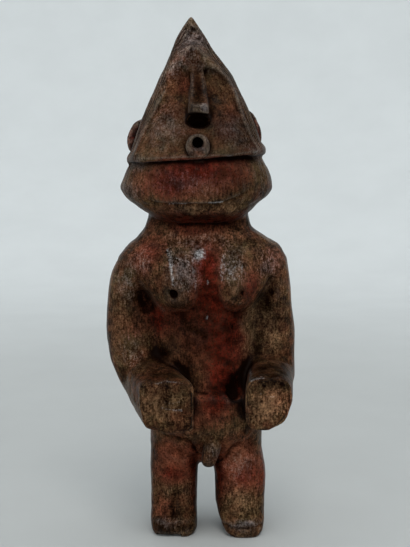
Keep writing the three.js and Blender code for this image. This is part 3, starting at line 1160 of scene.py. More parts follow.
# The skin of the figure


def skin_normals(points: Array, faces: Array) -> Array:
    """The direction that each vertex faces.

    Formula: the cross product of each face's diagonals, added up over the faces round a vertex, made one
    long.

    Args:
        points: The vertices.
        faces: Rows of four vertex numbers.

    Returns:
        One direction for each vertex.
    """
    across = np.cross(points[faces[:, 2]] - points[faces[:, 0]], points[faces[:, 3]] - points[faces[:, 1]])
    total = np.zeros_like(points)
    for axis in range(3):
        for corner in range(4):
            total[:, axis] += np.bincount(faces[:, corner], weights=across[:, axis], minlength=len(points))
    return total / np.maximum(np.linalg.norm(total, axis=1, keepdims=True), 1e-12)


def neighbour_mean(values: Array, edges: Array) -> Array:
    """The mean of the values at the far ends of each vertex's edges.

    Args:
        values: One number or one row for each vertex.
        edges: Rows of two vertex numbers.

    Returns:
        The means, shaped as values.
    """
    columns = values.reshape(len(values), -1)
    ends = np.concatenate([edges[:, 0], edges[:, 1]])
    others = np.concatenate([edges[:, 1], edges[:, 0]])
    count = np.maximum(np.bincount(ends, minlength=len(values)), 1)
    sums = [np.bincount(ends, weights=column[others], minlength=len(values)) for column in columns.T]
    return (np.stack(sums, axis=1) / count[:, None]).reshape(values.shape)


def edges_of(faces: Array) -> Array:
    """Every edge of the faces once.

    Formula: each edge is one number, its lower vertex times the number of vertices plus its higher one.

    Args:
        faces: Rows of four vertex numbers.

    Returns:
        Rows of two vertex numbers.
    """
    pairs = np.sort(np.concatenate([faces[:, [corner, (corner + 1) % 4]] for corner in range(4)]), axis=1)
    count = pairs.max() + 1
    keys = np.unique(pairs[:, 0].astype(np.int64) * count + pairs[:, 1])
    return np.stack([keys // count, keys % count], axis=1)


@dataclass(frozen=True)
class Ripple:
    """Layered noise: how high it stands, the size of its lumps, its seed and its number of layers."""

    height: float
    size: float | Place
    seed: int
    layers: int = 1

    def over(self, points: Array) -> Array:
        """The height at each point."""
        return self.height * layered_noise(points, self.size, self.seed, self.layers)


@dataclass(frozen=True)
class Trace:
    """A line on the front, x and z, with its half-width and its strength: a depth, where it is cut in."""

    path: Path
    width: float
    strength: float = 1.0

    def bell(self, x: Array, z: Array) -> Array:
        """A bell of height 1 across the line."""
        return swell(path_distance(x, z, eased(self.path)), self.width)

    def over(self, points: Array) -> Array:
        """The bell times the strength, on the front alone."""
        return self.strength * self.bell(points[:, 0], points[:, 2]) * (points[:, 1] < 0)


@dataclass(frozen=True)
class Toolwork:
    """What the blade, breakage and wear did to the skin, as heights in millimetres, above zero outwards."""

    head: Head
    uneven: tuple[Ripple, ...] = (Ripple(0.45, 17.0, 3), Ripple(0.18, (4.5, 4.5, 7.0), 7, 2))
    scoop_height: float = 0.42
    scoop_size: Place = (6.0, 6.0, 9.5)
    hair_spacing: float = 2.3
    hair_depth: float = 0.5
    stroke_height: float = 0.16
    break_depth: float = 0.9
    break_lumps: Ripple = Ripple(1.3, (5.0, 5.0, 6.0), 51, 3)
    torn_fibres: Ripple = Ripple(1.1, (2.6, 2.6, 4.2), 61, 2)
    pit_depth: float = 1.5
    chin_line: Trace = Trace(
        (
            (-30, 198.4), (-21.6, 196.4), (-10.6, 196.4), (3, 196.4), (11, 197), (16, 198.2), (22, 200.6),
            (29, 204.4),
        ),
        0.75, 0.75,
    )
    folds: tuple[Trace, ...] = (
        Trace(((-19, 61.2), (-11.4, 61.6), (-5.6, 59.4), (-1.1, 50.5)), 1.6, 0.6),
        Trace(((22, 57.6), (18.3, 54.9), (15.2, 48.2)), 1.6, 0.5),
        Trace(((-2.4, 88.7), (3.8, 88.2)), 0.9, 0.9),
        Trace(((-14.4, 24.5), (-16.0, 19), (-15.6, 13)), 1.9, 1.3),
        Trace(((28.6, 58), (29.8, 49), (30.8, 41)), 1.6, 0.9),
        Trace(((13, 6.6), (24, 6.2), (37, 6.4)), 0.8, 0.9),
    )

    def blade(self, points: Array) -> Array:
        """Shallow scoops, longer along the grain than across it, worn away in places.

        Args:
            points: Rows of x, y and z.

        Returns:
            The heights.
        """
        kept = smoothstep(noise(points, 24.0, 11), -0.5, 0.5)
        scoops = facets(points, self.scoop_size, 21)
        return self.scoop_height * (0.3 + 0.7 * kept) * (scoops - 0.35)

    def hair_way(self, points: Array) -> tuple[Array, Array]:
        """How far points lie behind the hairline, round the cap, and how much hair there is.

        Formula: the way is the angle beyond the hairline's own, both in that level's superellipse made
        round, times the mean half-size of the cap. The hair fades towards the tip, the brim and the
        hairline, and off the cap's surface.

        Args:
            points: Rows of x, y and z.

        Returns:
            The way in millimetres, and the share of hair from 0 to 1.
        """
        x, y, z = points.T
        level = z - self.head.tilt * x
        low, high, near, far, square = read_stations(self.head.cap, level)
        half, reach = (high - low) / 2, (far - near) / 2
        u, v = (x - (low + high) / 2) / half, (y - (near + far) / 2) / reach
        angle = np.abs(np.arctan2(u, -v))
        line = np.array(self.head.hairline)
        peak = len(line) // 2
        left = np.interp(z, line[:peak, 1], line[:peak, 0])
        right = np.interp(z, line[:peak:-1, 1], line[:peak:-1, 0])
        edge = np.where(u < 0, left, right)
        own_u = np.clip(np.abs(edge - (low + high) / 2) / half, 0.0, 0.985)
        own = np.arctan2(own_u, (1.0 - own_u**square) ** (1.0 / square))
        size = (half + reach) / 2
        gone = (angle - own) * size
        norm = (np.abs(u) ** square + np.abs(v) ** square) ** (1.0 / square)
        kept = smoothstep(gone, -0.4, 0.6) * smoothstep(size, 3.0, 8.0) * smoothstep(level, 223.0, 226.5)
        return gone, kept * smoothstep(norm, 0.80, 0.88) * (1.0 - smoothstep(norm, 1.06, 1.14))

    def hair(self, points: Array) -> Array:
        """Fine grooves on the cap that run with the hairline.

        Formula: a cosine of the way over the spacing, made sharper by a power, and worn by noise.

        Args:
            points: Rows of x, y and z.

        Returns:
            The heights.
        """
        gone, kept = self.hair_way(points)
        grooves = 0.5 + 0.5 * np.cos(2 * np.pi * gone / self.hair_spacing)
        worn = 0.4 + 0.6 * smoothstep(noise(points, (9.0, 9.0, 16.0), 31), -0.45, 0.25)
        return -self.hair_depth * kept * worn * grooves**1.5

    def strokes(self, points: Array, normals: Array) -> Array:
        """Upright knife strokes on the jaw and the cheeks, side by side, about a millimetre wide.

        Args:
            points: Rows of x, y and z.
            normals: The way that each point faces.

        Returns:
            The heights.
        """
        x, y, z = points.T
        band = smoothstep(z, 195, 199) * (1.0 - smoothstep(z, 216, 221))
        turn = np.arctan2(x + 2, -y) * 40.0
        streaks = noise(np.stack([turn, z * 0 + 3.0, z], axis=1), (0.9, 1.0, 12.0), 41)
        return self.stroke_height * band * streaks * (normals[:, 2] < 0.9)

    def cuts(self, points: Array, normals: Array) -> Array:
        """The incised line along the chin and the folds of the groin, the belly and the feet.

        Args:
            points: Rows of x, y and z.
            normals: The way that each point faces.

        Returns:
            The heights.
        """
        x, y, z = points.T
        chin = (y < -20) * smoothstep(x, -33, -25) * (1.0 - smoothstep(x, 22, 32))
        forward = smoothstep(-normals[:, 1], 0.0, 0.4) * (y > -30) * (y < 2)
        total = -self.chin_line.strength * chin * self.chin_line.bell(x, z)
        for fold in self.folds:
            total = total - fold.strength * forward * fold.bell(x, z)
        return total

    def breaks(self, points: Array, normals: Array) -> Array:
        """The broken ends of the forearms and the fronts of the feet, rough with short torn fibres.

        Formula: layered noise and a ridged noise, the absolute value of a second one, never above zero,
        within S-curves over the place and the way that the skin faces.

        Args:
            points: Rows of x, y and z.
            normals: The way that each point faces.

        Returns:
            The heights.
        """
        x, y, z = points.T
        forward = smoothstep(-normals[:, 1], 0.35, 0.75)
        stumps = forward * smoothstep(-y, 38.5, 42.0) * smoothstep(z, 64, 72)
        stumps = stumps * (1.0 - smoothstep(z, 100, 106))
        feet = forward * smoothstep(-y, 11.5, 13.5) * (1.0 - smoothstep(z, 6.5, 10.0))
        rough = -self.break_depth - self.break_lumps.over(points) - np.abs(self.torn_fibres.over(points))
        return np.minimum(rough, 0.0) * (0.95 * stumps + 0.8 * feet)

    def pits(self, points: Array) -> Array:
        """Small pits and grains in the old crust, thicker in some places than in others.

        Args:
            points: Rows of x, y and z.

        Returns:
            The heights.
        """
        crust = smoothstep(noise(points, 13.0, 71), -0.35, 0.45)
        fine = layered_noise(points, (1.7, 1.7, 2.4), 73, 2)
        return (0.10 + 0.16 * crust) * np.minimum(fine + 0.12, 0.0) * self.pit_depth

    def heights(self, points: Array, normals: Array) -> Array:
        """All the marks together, on a surface that is nowhere quite true; the soles stay flat.

        Args:
            points: Rows of x, y and z.
            normals: The way that each point faces.

        Returns:
            The heights.
        """
        small = points.astype(np.float32)
        total = sum(ripple.over(small) for ripple in self.uneven)
        total = total + self.blade(small) + self.hair(small) + self.strokes(small, normals)
        total = total + self.cuts(small, normals) + self.breaks(small, normals) + self.pits(small)
        return total * smoothstep(points[:, 2], 0.3, 2.0)


# The finish


@dataclass(frozen=True)
class Patch:
    """A place on the figure where a colour lies: its middle, its three reaches and its strength."""

    middle: Place
    reach: Place
    strength: float = 1.0

    def over(self, points: Array) -> Array:
        """A bell over the patch: e to the power of minus the square of the place over the reach."""
        gap = np.square((points - np.array(self.middle)) / np.array(self.reach)).sum(axis=1)
        return self.strength * np.exp(-gap)


Marks = tuple[Patch | Trace, ...]


def patches(*rows: tuple[float, ...]) -> Marks:
    """Patches from rows of numbers: a middle's x, y and z, the three reaches, and the strength."""
    return tuple(Patch(row[:3], row[3:6], row[6]) for row in rows)


def laid(marks: Marks, points: Array) -> Array:
    """All marks of one colour together: 1 less the product of what each leaves bare.

    Args:
        marks: The patches and the traces.
        points: Rows of x, y and z.

    Returns:
        The share that is covered, from 0 to 1.
    """
    bare = np.ones(len(points))
    for mark in marks:
        bare *= 1.0 - np.clip(mark.over(points), 0.0, 1.0)
    return 1.0 - bare


def read_rows(items: bpy.types.bpy_prop_collection, name: str, kind: type, width: int) -> Array:
    """One property of all of a mesh's vertices or edges.

    Args:
        items: The vertices or the edges.
        name: The property.
        kind: The type of its numbers.
        width: How many numbers it has.

    Returns:
        One row for each item.
    """
    values = np.empty(len(items) * width, dtype=kind)
    items.foreach_get(name, values)
    return values.reshape(-1, width)


@dataclass(frozen=True)
class Surface:
    """What the finish needs to know of each vertex, kept as named attributes of the mesh.

    The marks lay red ochre; white clay, which also paints grey sheen in places, and its thin traces, which
    also paint highlight lines along edges; clean wood; a dark sooty crust, which also paints shade under
    things and in recesses; and worn ridges, with highlights painted along them. The tone marks make a place
    lighter by powers of two, or darker where they are below zero, which paints light and shade in places,
    and the smooth marks calm the speckle.
    """

    ochre: Marks = patches(
        # Cap and face
        (-9, -20, 261, 5, 8, 9, 0.5), (-22, -20, 246, 7, 8, 8, 0.4), (16, -26, 246, 9, 8, 10, 0.4),
        (34, 0, 236, 6, 8, 12, 1.2), (-14, -30, 232, 12, 12, 14, 0.2), (-38, 0, 231, 7, 8, 13, 1.3),
        # Jaw and neck
        (5, -36, 219.6, 26, 10, 2.6, 0.9), (0, -36, 214, 22, 10, 7, 1.1), (26, -30, 212, 10, 12, 8, 0.4),
        (-34, -26, 210, 12, 16, 10, 0.3), (-15, -36, 206, 16, 14, 9, 0.95), (12, -36, 206, 12, 14, 8, 0.4),
        (3, -30, 188, 38, 22, 5, 0.8),
        # Chest and shoulders
        (0, -24, 179, 30, 16, 9, 0.6), (-29, -18, 168, 11, 12, 12, 0.75), (5, -24, 161, 7, 9, 10, 1.2),
        (40, -10, 160, 14, 14, 12, 0.35), (28, -25, 150, 7, 10, 11, 0.7), (3, -24, 148, 9, 8, 12, 0.8),
        # Belly and upper arms
        (6, -21, 140, 8, 8, 12, 0.95), (-32, -14, 138, 8, 10, 10, 0.6), (-10, -22, 132, 12, 8, 8, 0.6),
        (-24, -16, 130, 4.5, 10, 8, 0.9), (-50, -2, 130, 6, 14, 30, 0.25), (-22, -14, 127, 8, 12, 8, 0.8),
        (16, -20, 122, 13, 8, 18, 0.85), (-40, -12, 122, 8, 12, 8, 0.5), (21, -19, 116, 6, 10, 18, 0.75),
        (-4, -22, 112, 20, 10, 22, 0.42), (53, -2, 112, 5, 12, 40, 0.35), (12, -20, 105, 9, 8, 16, 0.7),
        # Stumps and lap
        (17, -20, 92, 9, 10, 9, 1.5), (40, -44, 88, 9, 8, 9, 0.6), (8, -25, 82, 11, 8, 8, 0.95),
        (4, -27, 74, 18, 10, 8, 0.5),
        # Legs and feet
        (-14, -13, 50, 14, 14, 14, 0.75), (20, -13, 46, 14, 14, 18, 0.75), (-3.5, -8, 40, 4, 14, 26, 0.8),
        (11.0, -8, 40, 4, 14, 26, 0.8), (-16, -13, 38, 9, 10, 5, 1.0), (27, -13, 36, 10, 10, 9, 0.7),
        (38, -2, 36, 6, 14, 12, 0.7), (-22, -13, 18, 9, 10, 10, 0.45),
        # Behind
        (3, 40, 206, 30, 12, 10, 0.45), (3, 28, 150, 22, 12, 20, 0.6), (3, 30, 60, 24, 14, 22, 0.7),
    )
    # White clay, and grey sheen painted on the cap's tip, the nose's tip, the mouth's lower lip and the
    # brim's ends.
    chalk_and_sheen: Marks = patches(
        # Cap and face
        (-3, -7, 285, 13, 16, 15, 0.6), (-15, -16, 270, 7, 10, 7, 0.35), (4, -16, 270, 12, 10, 5, 0.35),
        (-24, -12, 262, 5, 12, 20, 0.35), (22, -12, 262, 5, 12, 18, 0.35),
        (2.0, -37, 247.6, 3.2, 4, 3.2, 1.1), (-18, -28, 235, 15, 14, 15, 0.46),
        (18, -28, 234, 15, 14, 13, 0.44), (-1.5, -43, 225.4, 4.5, 4, 2.2, 0.6),
        (33, -22, 223, 7, 12, 4, 0.6),
        # Jaw and neck
        (-36, -22, 219, 8, 12, 5, 0.65), (-6, -36, 207, 30, 14, 9, 0.34), (-44, -18, 206, 6, 20, 10, 0.4),
        (-41, -22, 200, 9, 18, 6, 0.4), (38, -20, 200, 9, 18, 6, 0.35),
        # Chest and shoulders
        (0, -22, 175, 24, 10, 5, 0.3), (-0.5, -25, 167.4, 3.3, 4, 3.0, 0.9),
        (-32, -16, 163, 10, 12, 9, 0.3), (40, -12, 162, 10, 12, 9, 0.3), (17.5, -26, 161, 8, 10, 10, 0.48),
        (-9, -28, 158, 9, 10, 11, 0.68), (36, -14, 157, 8, 10, 8, 0.35), (-42, -14, 149, 7, 9, 12, 0.4),
        # Belly and upper arms
        (-40, -12, 111, 10, 12, 14, 0.28),
        # Legs and feet
        (7, -28, 56, 6, 6, 6, 0.35), (22, -13, 42, 12, 12, 13, 0.32), (-20, -15, 9, 9, 6, 3.5, 0.5),
        (25, -18, 8.4, 12, 6, 2.6, 0.85),
    )
    # Worn ridges, with highlights painted along them: the arch over the nose, the nose's arrises, the face's
    # rim, the brim's edge, the chin line and the pectorals' edges.
    rubbed_and_highlit: Marks = (
        # Cap and face
        Trace(((-10.5, 277), (-5, 282), (-0.6, 281), (3.2, 276)), 1.5, 0.6),
        Trace(((3.0, 262), (3.9, 256), (5.0, 248.6)), 0.4, 0.65),
        Trace(((-5.0, 262), (-5.6, 256), (-6.0, 248.4)), 0.4, 0.75),
        Trace(
            (
                (3.0, 271.2), (9.2, 270), (15.2, 265), (19.0, 257.6), (22.3, 247.6), (27.8, 233.9),
                (32.6, 225.6),
            ),
            0.8, 0.7,
        ),
        Trace(((-19.5, 258), (-22.6, 251.6), (-29.2, 239.4), (-35.8, 225.6)), 0.8, 0.85),
        Trace(((-34, 221.2), (-20, 221.6), (-0.5, 222.4), (16, 223.2), (31, 224.8)), 0.7, 0.9),
        # Jaw and neck
        Trace(((-24, 198.0), (-10.6, 197.4), (3, 197.4), (11, 198), (22, 201.6)), 0.6, 0.6),
        # Belly and upper arms
        Trace(((39.6, 150), (34.6, 141), (30, 136)), 1.2, 0.4),
        Trace(((-33.5, 151), (-27, 141), (-20, 134.6)), 1.2, 0.5),
    )
    # Thin traces of white clay on the chest, and highlights painted as white lines along the brim's edge,
    # the chin line and the stumps' top edges.
    chalk_and_glint_lines: Marks = (
        Trace(((29.4, 224.0), (31.6, 224.6)), 0.6, 0.7),
        Trace(((14.6, 222.4), (18.4, 222.9)), 0.5, 0.7),
        Trace(((4.5, 196.9), (9, 197.1), (12, 197.6)), 0.5, 0.8),
        Trace(((-17, 196.6), (-11, 196.7), (-7, 196.7)), 0.45, 0.6),
        Trace(((-16.8, 170), (-15.6, 165), (-15.8, 160)), 1.3, 0.5),
        Trace(((-13.2, 165.9), (-9.4, 164.6), (-7.4, 164.2)), 0.6, 0.45),
        Trace(((14.4, 168.6), (12.4, 164), (11.9, 158), (12.9, 153.6)), 0.6, 0.6),
        Trace(((-18.0, 169.5), (-16.8, 163.5), (-15.4, 158.6), (-14.8, 150.8)), 0.6, 0.8),
        Trace(((22.2, 165.4), (23.6, 160.2), (22.4, 156.0)), 0.6, 0.5),
        Trace(((16, 166), (19.4, 162.4), (17.2, 158.4), (20.6, 154.4)), 0.7, 0.55),
        Trace(((13.6, 161.5), (16.4, 158.2), (15.4, 154.8)), 0.6, 0.5),
        Trace(((-6.4, 164.6), (-3.4, 160.5), (-2.2, 155.6), (-2.6, 149.6)), 0.6, 0.7),
        Trace(((4.2, 153.4), (4.6, 151.2)), 0.6, 0.8),
        Trace(((-10, 152.5), (-6.2, 149.8)), 0.6, 0.5),
        Trace(((4.2, 132.4), (4.0, 130.4)), 0.6, 0.8),
        Trace(((27, 99.4), (31, 100.6), (35, 101)), 0.6, 0.55),
        Trace(((-28, 98), (-19.1, 98.9), (-8.4, 98.2)), 0.4, 0.4),
        Trace(((33, 92.6), (37, 90.4), (41, 90.8)), 0.5, 0.35),
        Trace(((-19.5, 88.4), (-15, 87.6), (-11.4, 87.8)), 0.5, 0.4),
        Trace(((-20.5, 85.0), (-16, 84.0), (-9.4, 83.4)), 0.6, 0.55),
        Patch((-0.2, -25, 167.4), (2.6, 4, 2.6), 1.3),
    )
    bare: Marks = patches(
        # Cap and face
        (-3, -8, 286, 4, 6, 4, 0.3), (12, -18, 262, 7, 8, 8, 0.45),
        # Jaw and neck
        (-33, -24, 209, 8, 10, 6, 0.4), (2, -37, 204, 10, 6, 5, 0.35), (17, -33, 194, 9, 8, 2.8, 0.8),
        (-5, -36, 192.8, 9, 6, 2.4, 0.8),
        # Chest and shoulders
        (0, -19, 176, 26, 10, 4, 0.45), (-30, -16, 165, 10, 12, 9, 0.3),
        # Belly and upper arms
        (46, -8, 140, 10, 14, 22, 0.35), (31, -12, 131, 8, 9, 8, 0.75), (-47, -8, 130, 10, 14, 26, 0.4),
        (41, -12, 120, 7, 9, 10, 0.6), (26, -13, 116, 5, 9, 11, 0.65),
        # Stumps and lap
        (-23, -44, 88, 14, 4, 11, 0.75), (38, -44, 87, 12, 4, 13, 0.9), (3, -27, 76, 18, 8, 9, 0.25),
        # Legs and feet
        (-14, -14, 48, 12, 10, 14, 0.3), (20, -14, 46, 13, 10, 14, 0.4), (-20, -13, 26, 6, 8, 8, 0.35),
        (-8, -13, 26, 5, 8, 9, 0.45), (25, -13, 22, 12, 8, 9, 0.65), (-8, -18, 3, 7, 6, 5, 0.7),
        (24, -20, 2.6, 11, 5, 3.6, 0.8),
    )
    # Dark sooty crust and painted shade: the patches over the nose's root, under the nose, in the mouth,
    # under the jaw, in the armpits, under the breasts, on the forearms' tops and between the legs, and the
    # traces in the folds, are painted shade.
    soot_and_shade: Marks = patches(
        # Cap and face
        (-0.6, -18, 270, 4.4, 8, 6, 1.1), (-1.0, -28, 259, 3.4, 10, 9, 0.7), (13, -24, 258, 6, 8, 5, 0.45),
        (10, -24, 252, 6, 8, 6, 0.45), (-4.6, -37, 247, 2.0, 4, 2.6, 0.8),
        (-0.6, -34, 242, 7, 9, 4.4, 1.0), (-7.2, -34, 241, 3.2, 8, 3, 0.9),
        (18, -28, 238, 10, 10, 12, 0.3), (-0.9, -38, 229.6, 3.2, 5, 3.2, 1.0),
        # Jaw and neck
        (12, -36, 212, 3, 8, 6, 0.5), (-19, -36, 211, 2.4, 8, 6, 0.5), (22, -34, 208, 5, 8, 5, 0.5),
        (-13, -37, 206, 4, 8, 8, 0.6), (2, -30, 188.4, 25, 18, 3.8, 1.5), (2, -21, 185.6, 25, 14, 4, 1.0),
        (1, -20, 184.6, 20, 16, 4, 0.5),
        # Chest and shoulders
        (4, -23, 150, 7, 8, 10, 0.45), (-14.8, -27, 145.6, 3.2, 6, 3.2, 1.4),
        (24, -27, 145.6, 2.2, 5, 2.6, 1.0),
        # Belly and upper arms
        (-12, -25, 141.6, 10, 8, 4, 0.85), (42, -12, 140, 5.5, 10, 9, 1.0),
        (-33, -13, 138, 7, 10, 9, 0.75), (-36, -13, 138, 7, 10, 11, 0.6), (44, -12, 135, 6, 10, 9, 0.8),
        (22, -24, 134.6, 10, 8, 2.4, 0.7), (-13, -24, 134.6, 11, 8, 2.4, 0.6),
        (-33, -14, 134, 6, 10, 6, 0.8), (36, -16, 134, 6, 10, 10, 0.7), (-32, -16, 132, 7, 10, 8, 0.7),
        (-8, -21, 129, 10, 8, 6, 0.7), (-17, -20, 128, 7, 8, 7, 0.6), (19.5, -20, 127, 7, 8, 12, 0.9),
        (-9, -22, 126, 10, 8, 9, 0.75), (34, -13, 124, 10, 8, 14, 0.25), (4, -20, 124, 24, 9, 13, 0.4),
        (-27, -14, 121, 4, 8, 9, 0.7), (4, -22, 118, 6, 8, 10, 0.45), (34, -14, 116, 3, 8, 12, 0.7),
        (-17, -20, 114, 8, 8, 6, 0.55), (-22, -12, 109, 5, 9, 3.6, 0.9), (17, -20, 108, 4, 8, 8, 0.5),
        (-22, -24, 108, 16, 18, 7, 0.4),
        # Stumps and lap
        (-22, -32, 103, 16, 18, 6, 0.8), (38, -32, 103, 15, 16, 5, 1.1),
        (-8, -20, 102.5, 3.6, 8, 3.6, 0.8), (50, -26, 101, 8, 18, 6, 0.7), (44, -42, 100, 8, 6, 3, 0.9),
        (-40, -22, 99, 9, 18, 6, 0.2), (40, -44, 99, 10, 5, 2.6, 0.6), (-19, -44, 96, 9, 4, 2.4, 0.5),
        (19.5, -18, 95, 9, 10, 10, 0.95), (-18, -44, 91, 7, 4, 6, 0.35), (29, -44, 90, 4, 5, 8, 0.6),
        (12, -20, 87, 7, 10, 4, 0.8), (-20, -44, 87, 4, 4, 5, 0.6), (12.5, -24, 85, 8, 8, 5, 0.7),
        # Legs and feet
        (34, -12, 54, 4, 8, 12, 0.4), (-25, -12, 52, 4, 8, 12, 0.5), (30, -12, 50, 3, 8, 11, 0.5),
        (5, -28, 46, 6, 5, 3.5, 0.7), (-3.0, -8, 40, 3, 14, 26, 0.95), (11.0, -8, 40, 3, 14, 26, 0.95),
        (-15, -13, 15, 2.6, 6, 6, 0.5), (-20, -18, 4, 12, 6, 4, 0.6), (25, -18, 3, 12, 5, 3, 0.3),
    ) + (
        Trace(((-4, 88.8), (3.8, 88.3)), 0.9, 0.8),
        Trace(((-20.5, 61.8), (-11.4, 62), (-5.6, 60), (-1.2, 51)), 1.1, 0.8),
        Trace(((23, 58), (18.3, 55.4), (15.2, 48.4)), 1.0, 0.7),
    )
    # Tone marks, which also paint light and shade: lighter on the forehead, the nose's tip and the lit parts
    # of the stumps and forearms, darker in the eye sockets, on the right forearm's top, at the brim and on
    # the feet's fronts.
    pale: Marks = patches(
        # Cap and face
        (-15, -18, 271, 8, 12, 9, 0.8), (-18, -18, 262, 9, 14, 16, 0.6), (-11, -22, 260, 9, 14, 10, -0.55),
        (10, -22, 260, 9, 14, 10, -0.35), (-0.5, -32, 258, 5, 12, 10, -0.5),
        (22, -10, 252, 7, 16, 18, -0.55), (20, -22, 249, 8, 14, 10, 0.35),
        (1.4, -37, 247.6, 4, 5, 3.4, 0.7), (18, -30, 236, 14, 16, 14, -0.5),
        (0, -38, 224, 26, 10, 5, -0.25),
        # Jaw and neck
        (0, -38, 218, 24, 10, 6, 0.25), (24, -30, 212, 14, 14, 10, -0.5), (0, -34, 192, 30, 14, 4, -0.3),
        # Chest and shoulders
        (0, -20, 177, 30, 16, 6, 0.6), (38, -10, 177, 10, 14, 6, 0.45), (-34, -14, 166, 14, 16, 12, 0.2),
        (40, -12, 164, 14, 16, 12, 0.35), (-50, -6, 150, 8, 14, 14, 0.35),
        # Belly and upper arms
        (49, -8, 138, 12, 16, 22, 0.5), (-46, -8, 136, 12, 16, 24, 0.12), (34, -13, 126, 12, 9, 12, -0.3),
        (-4, -21, 122, 18, 10, 14, -0.6), (46, -12, 112, 9, 12, 8, 0.4), (-38, -16, 105, 10, 14, 10, 0.6),
        (39, -24, 105, 14, 16, 6, -0.4),
        # Stumps and lap
        (25, -22, 103, 5, 14, 8, 0.6), (38, -44, 88, 14, 6, 14, 0.5), (-22, -44, 86, 16, 6, 14, 0.2),
        (48, -42, 82, 6, 8, 9, 1.0), (-9, -44, 80, 6, 5, 6, 0.8),
        # Legs and feet
        (-14, -13, 48, 13, 14, 14, 0.45), (31, -12, 48, 5, 12, 12, 0.4), (20, -13, 46, 15, 14, 17, 0.95),
        (-22, -12, 46, 8, 14, 16, 0.3), (33, -12, 36, 6, 14, 20, 0.35), (25, -13, 22, 13, 12, 10, 0.4),
        (-26, -12, 16, 5, 8, 8, 0.4), (-16, -18, 5, 16, 8, 7, -0.6), (26, -19, 3, 14, 6, 4, -0.5),
        # Behind
        (2, 28, 120, 40, 14, 70, 0.35),
    )
    smooth: Marks = patches(
        # Cap and face
        (0, -14, 270, 20, 20, 14, 0.6), (0, -34, 236, 44, 26, 24, 1.0),
        # Jaw and neck
        (0, -34, 210, 50, 30, 14, 0.8),
        # Belly and upper arms
        (50, -8, 142, 14, 18, 34, 0.45), (-48, -8, 138, 14, 18, 38, 0.55), (4, -18, 110, 26, 14, 30, 0.4),
        # Stumps and lap
        (38, -44, 87, 14, 5, 14, 0.6), (-22, -44, 86, 18, 5, 14, 0.6),
        # Legs and feet
        (-14, -13, 48, 16, 20, 18, 0.7), (20, -13, 44, 18, 20, 20, 0.7),
    )
    # how far out, and how strongly, the painted shade of the hollows looks
    hollow_reaches: tuple[tuple[float, float], ...] = ((2.0, 0.7), (7.0, 0.8), (13.0, 0.5))
    curve_gain: float = 9.0
    drift_size: float = 9.0
    drift_seeds: tuple[int, int, int] = (101, 111, 121)

    def curve(self, points: Array, normals: Array, edges: Array) -> Array:
        """How sunk each vertex lies between its neighbours, below zero on a ridge.

        Formula: the height of the neighbours' mean over the vertex, over the mean length of an edge,
        evened out over the neighbours, times curve_gain.

        Args:
            points: The vertices.
            normals: The way that each one faces.
            edges: Rows of two vertex numbers.

        Returns:
            One number for each vertex.
        """
        sunk = ((neighbour_mean(points, edges) - points) * normals).sum(axis=1)
        length = np.linalg.norm(points[edges[:, 0]] - points[edges[:, 1]], axis=1).mean()
        return self.curve_gain * neighbour_mean(sunk / length, edges)

    def wear(self, points: Array, curve: Array, thin: Array) -> Array:
        """How much each vertex is worn by hands, most on ridges and on thin edges.

        Formula: the curve below zero and the thinness of the wood, each graded in a straight line and
        held, and a quarter of that on the broken ends of the forearms.

        Args:
            points: The vertices.
            curve: How sunk each one lies.
            thin: How thin the wood is behind it, from 0 to 1.

        Returns:
            The share of wear.
        """
        worn = 0.7 * np.clip(-curve, 0.0, 1.0) + 0.6 * np.clip(1.6 * thin - 0.3, 0.0, 1.0)
        broken = smoothstep(-points[:, 1], 40.0, 43.0) * (points[:, 2] < 110)
        return worn * (1.0 - 0.75 * broken)

    def tell(self, mesh: bpy.types.Mesh, block: Block, tools: Toolwork) -> None:
        """Writes the attributes.

        Formula: the painted shade of the hollows adds up, over each of its reaches, how much of the free way
        out is missing, times the reach's weight. The marks are looked up at places that drift by noise, so
        that their edges wander.

        Args:
            mesh: The finished mesh, in metres.
            block: The carved block.
            tools: The tools that marked the skin.
        """
        points = read_rows(mesh.vertices, "co", np.float32, 3) / METRES
        normals = read_rows(mesh.vertices, "normal", np.float32, 3)
        curve = self.curve(points, normals, read_rows(mesh.edges, "vertices", np.int32, 2))
        worn = self.wear(points, curve, 1.0 - block.openness(points, normals, -3.0))
        drift = np.stack([layered_noise(points, self.drift_size, seed) for seed in self.drift_seeds], axis=1)
        places = points + 4.0 * drift
        hair_way, hair = tools.hair_way(points)
        attributes = {
            "hair_way": hair_way,
            "hair": hair,
            # painted shade in the hollows: darker where wood stands close round a vertex
            "hollow_shade": sum(
                weight * (1.0 - block.openness(points, normals, reach))
                for reach, weight in self.hollow_reaches
            ),
            # painted shade in the creases: how sunk each vertex lies between its neighbours
            "crease_shade": np.clip(curve, 0.0, 1.0),
            # wear on ridges and thin edges, with highlights painted along the traced ridges
            "worn": np.clip(np.maximum(worn, laid(self.rubbed_and_highlit, points + 0.5 * drift)), 0.0, 1.0),
            "ochre": laid(self.ochre, places),
            "chalk_and_sheen": laid(self.chalk_and_sheen, places),
            "chalk_and_glint_line": laid(self.chalk_and_glint_lines, points + 1.1 * drift),
            "bare": laid(self.bare, places),
            # the sooty crust, and painted shade where its patches stand for shade
            "soot_and_shade": laid(self.soot_and_shade, points + 1.5 * drift),
            "smooth": laid(self.smooth, points),
            "pale": sum(patch.over(places) for patch in self.pale),
        }
        for name, values in attributes.items():
            layer = mesh.attributes.new(name, "FLOAT", "POINT")
            layer.data.foreach_set("value", values.astype(np.float32))


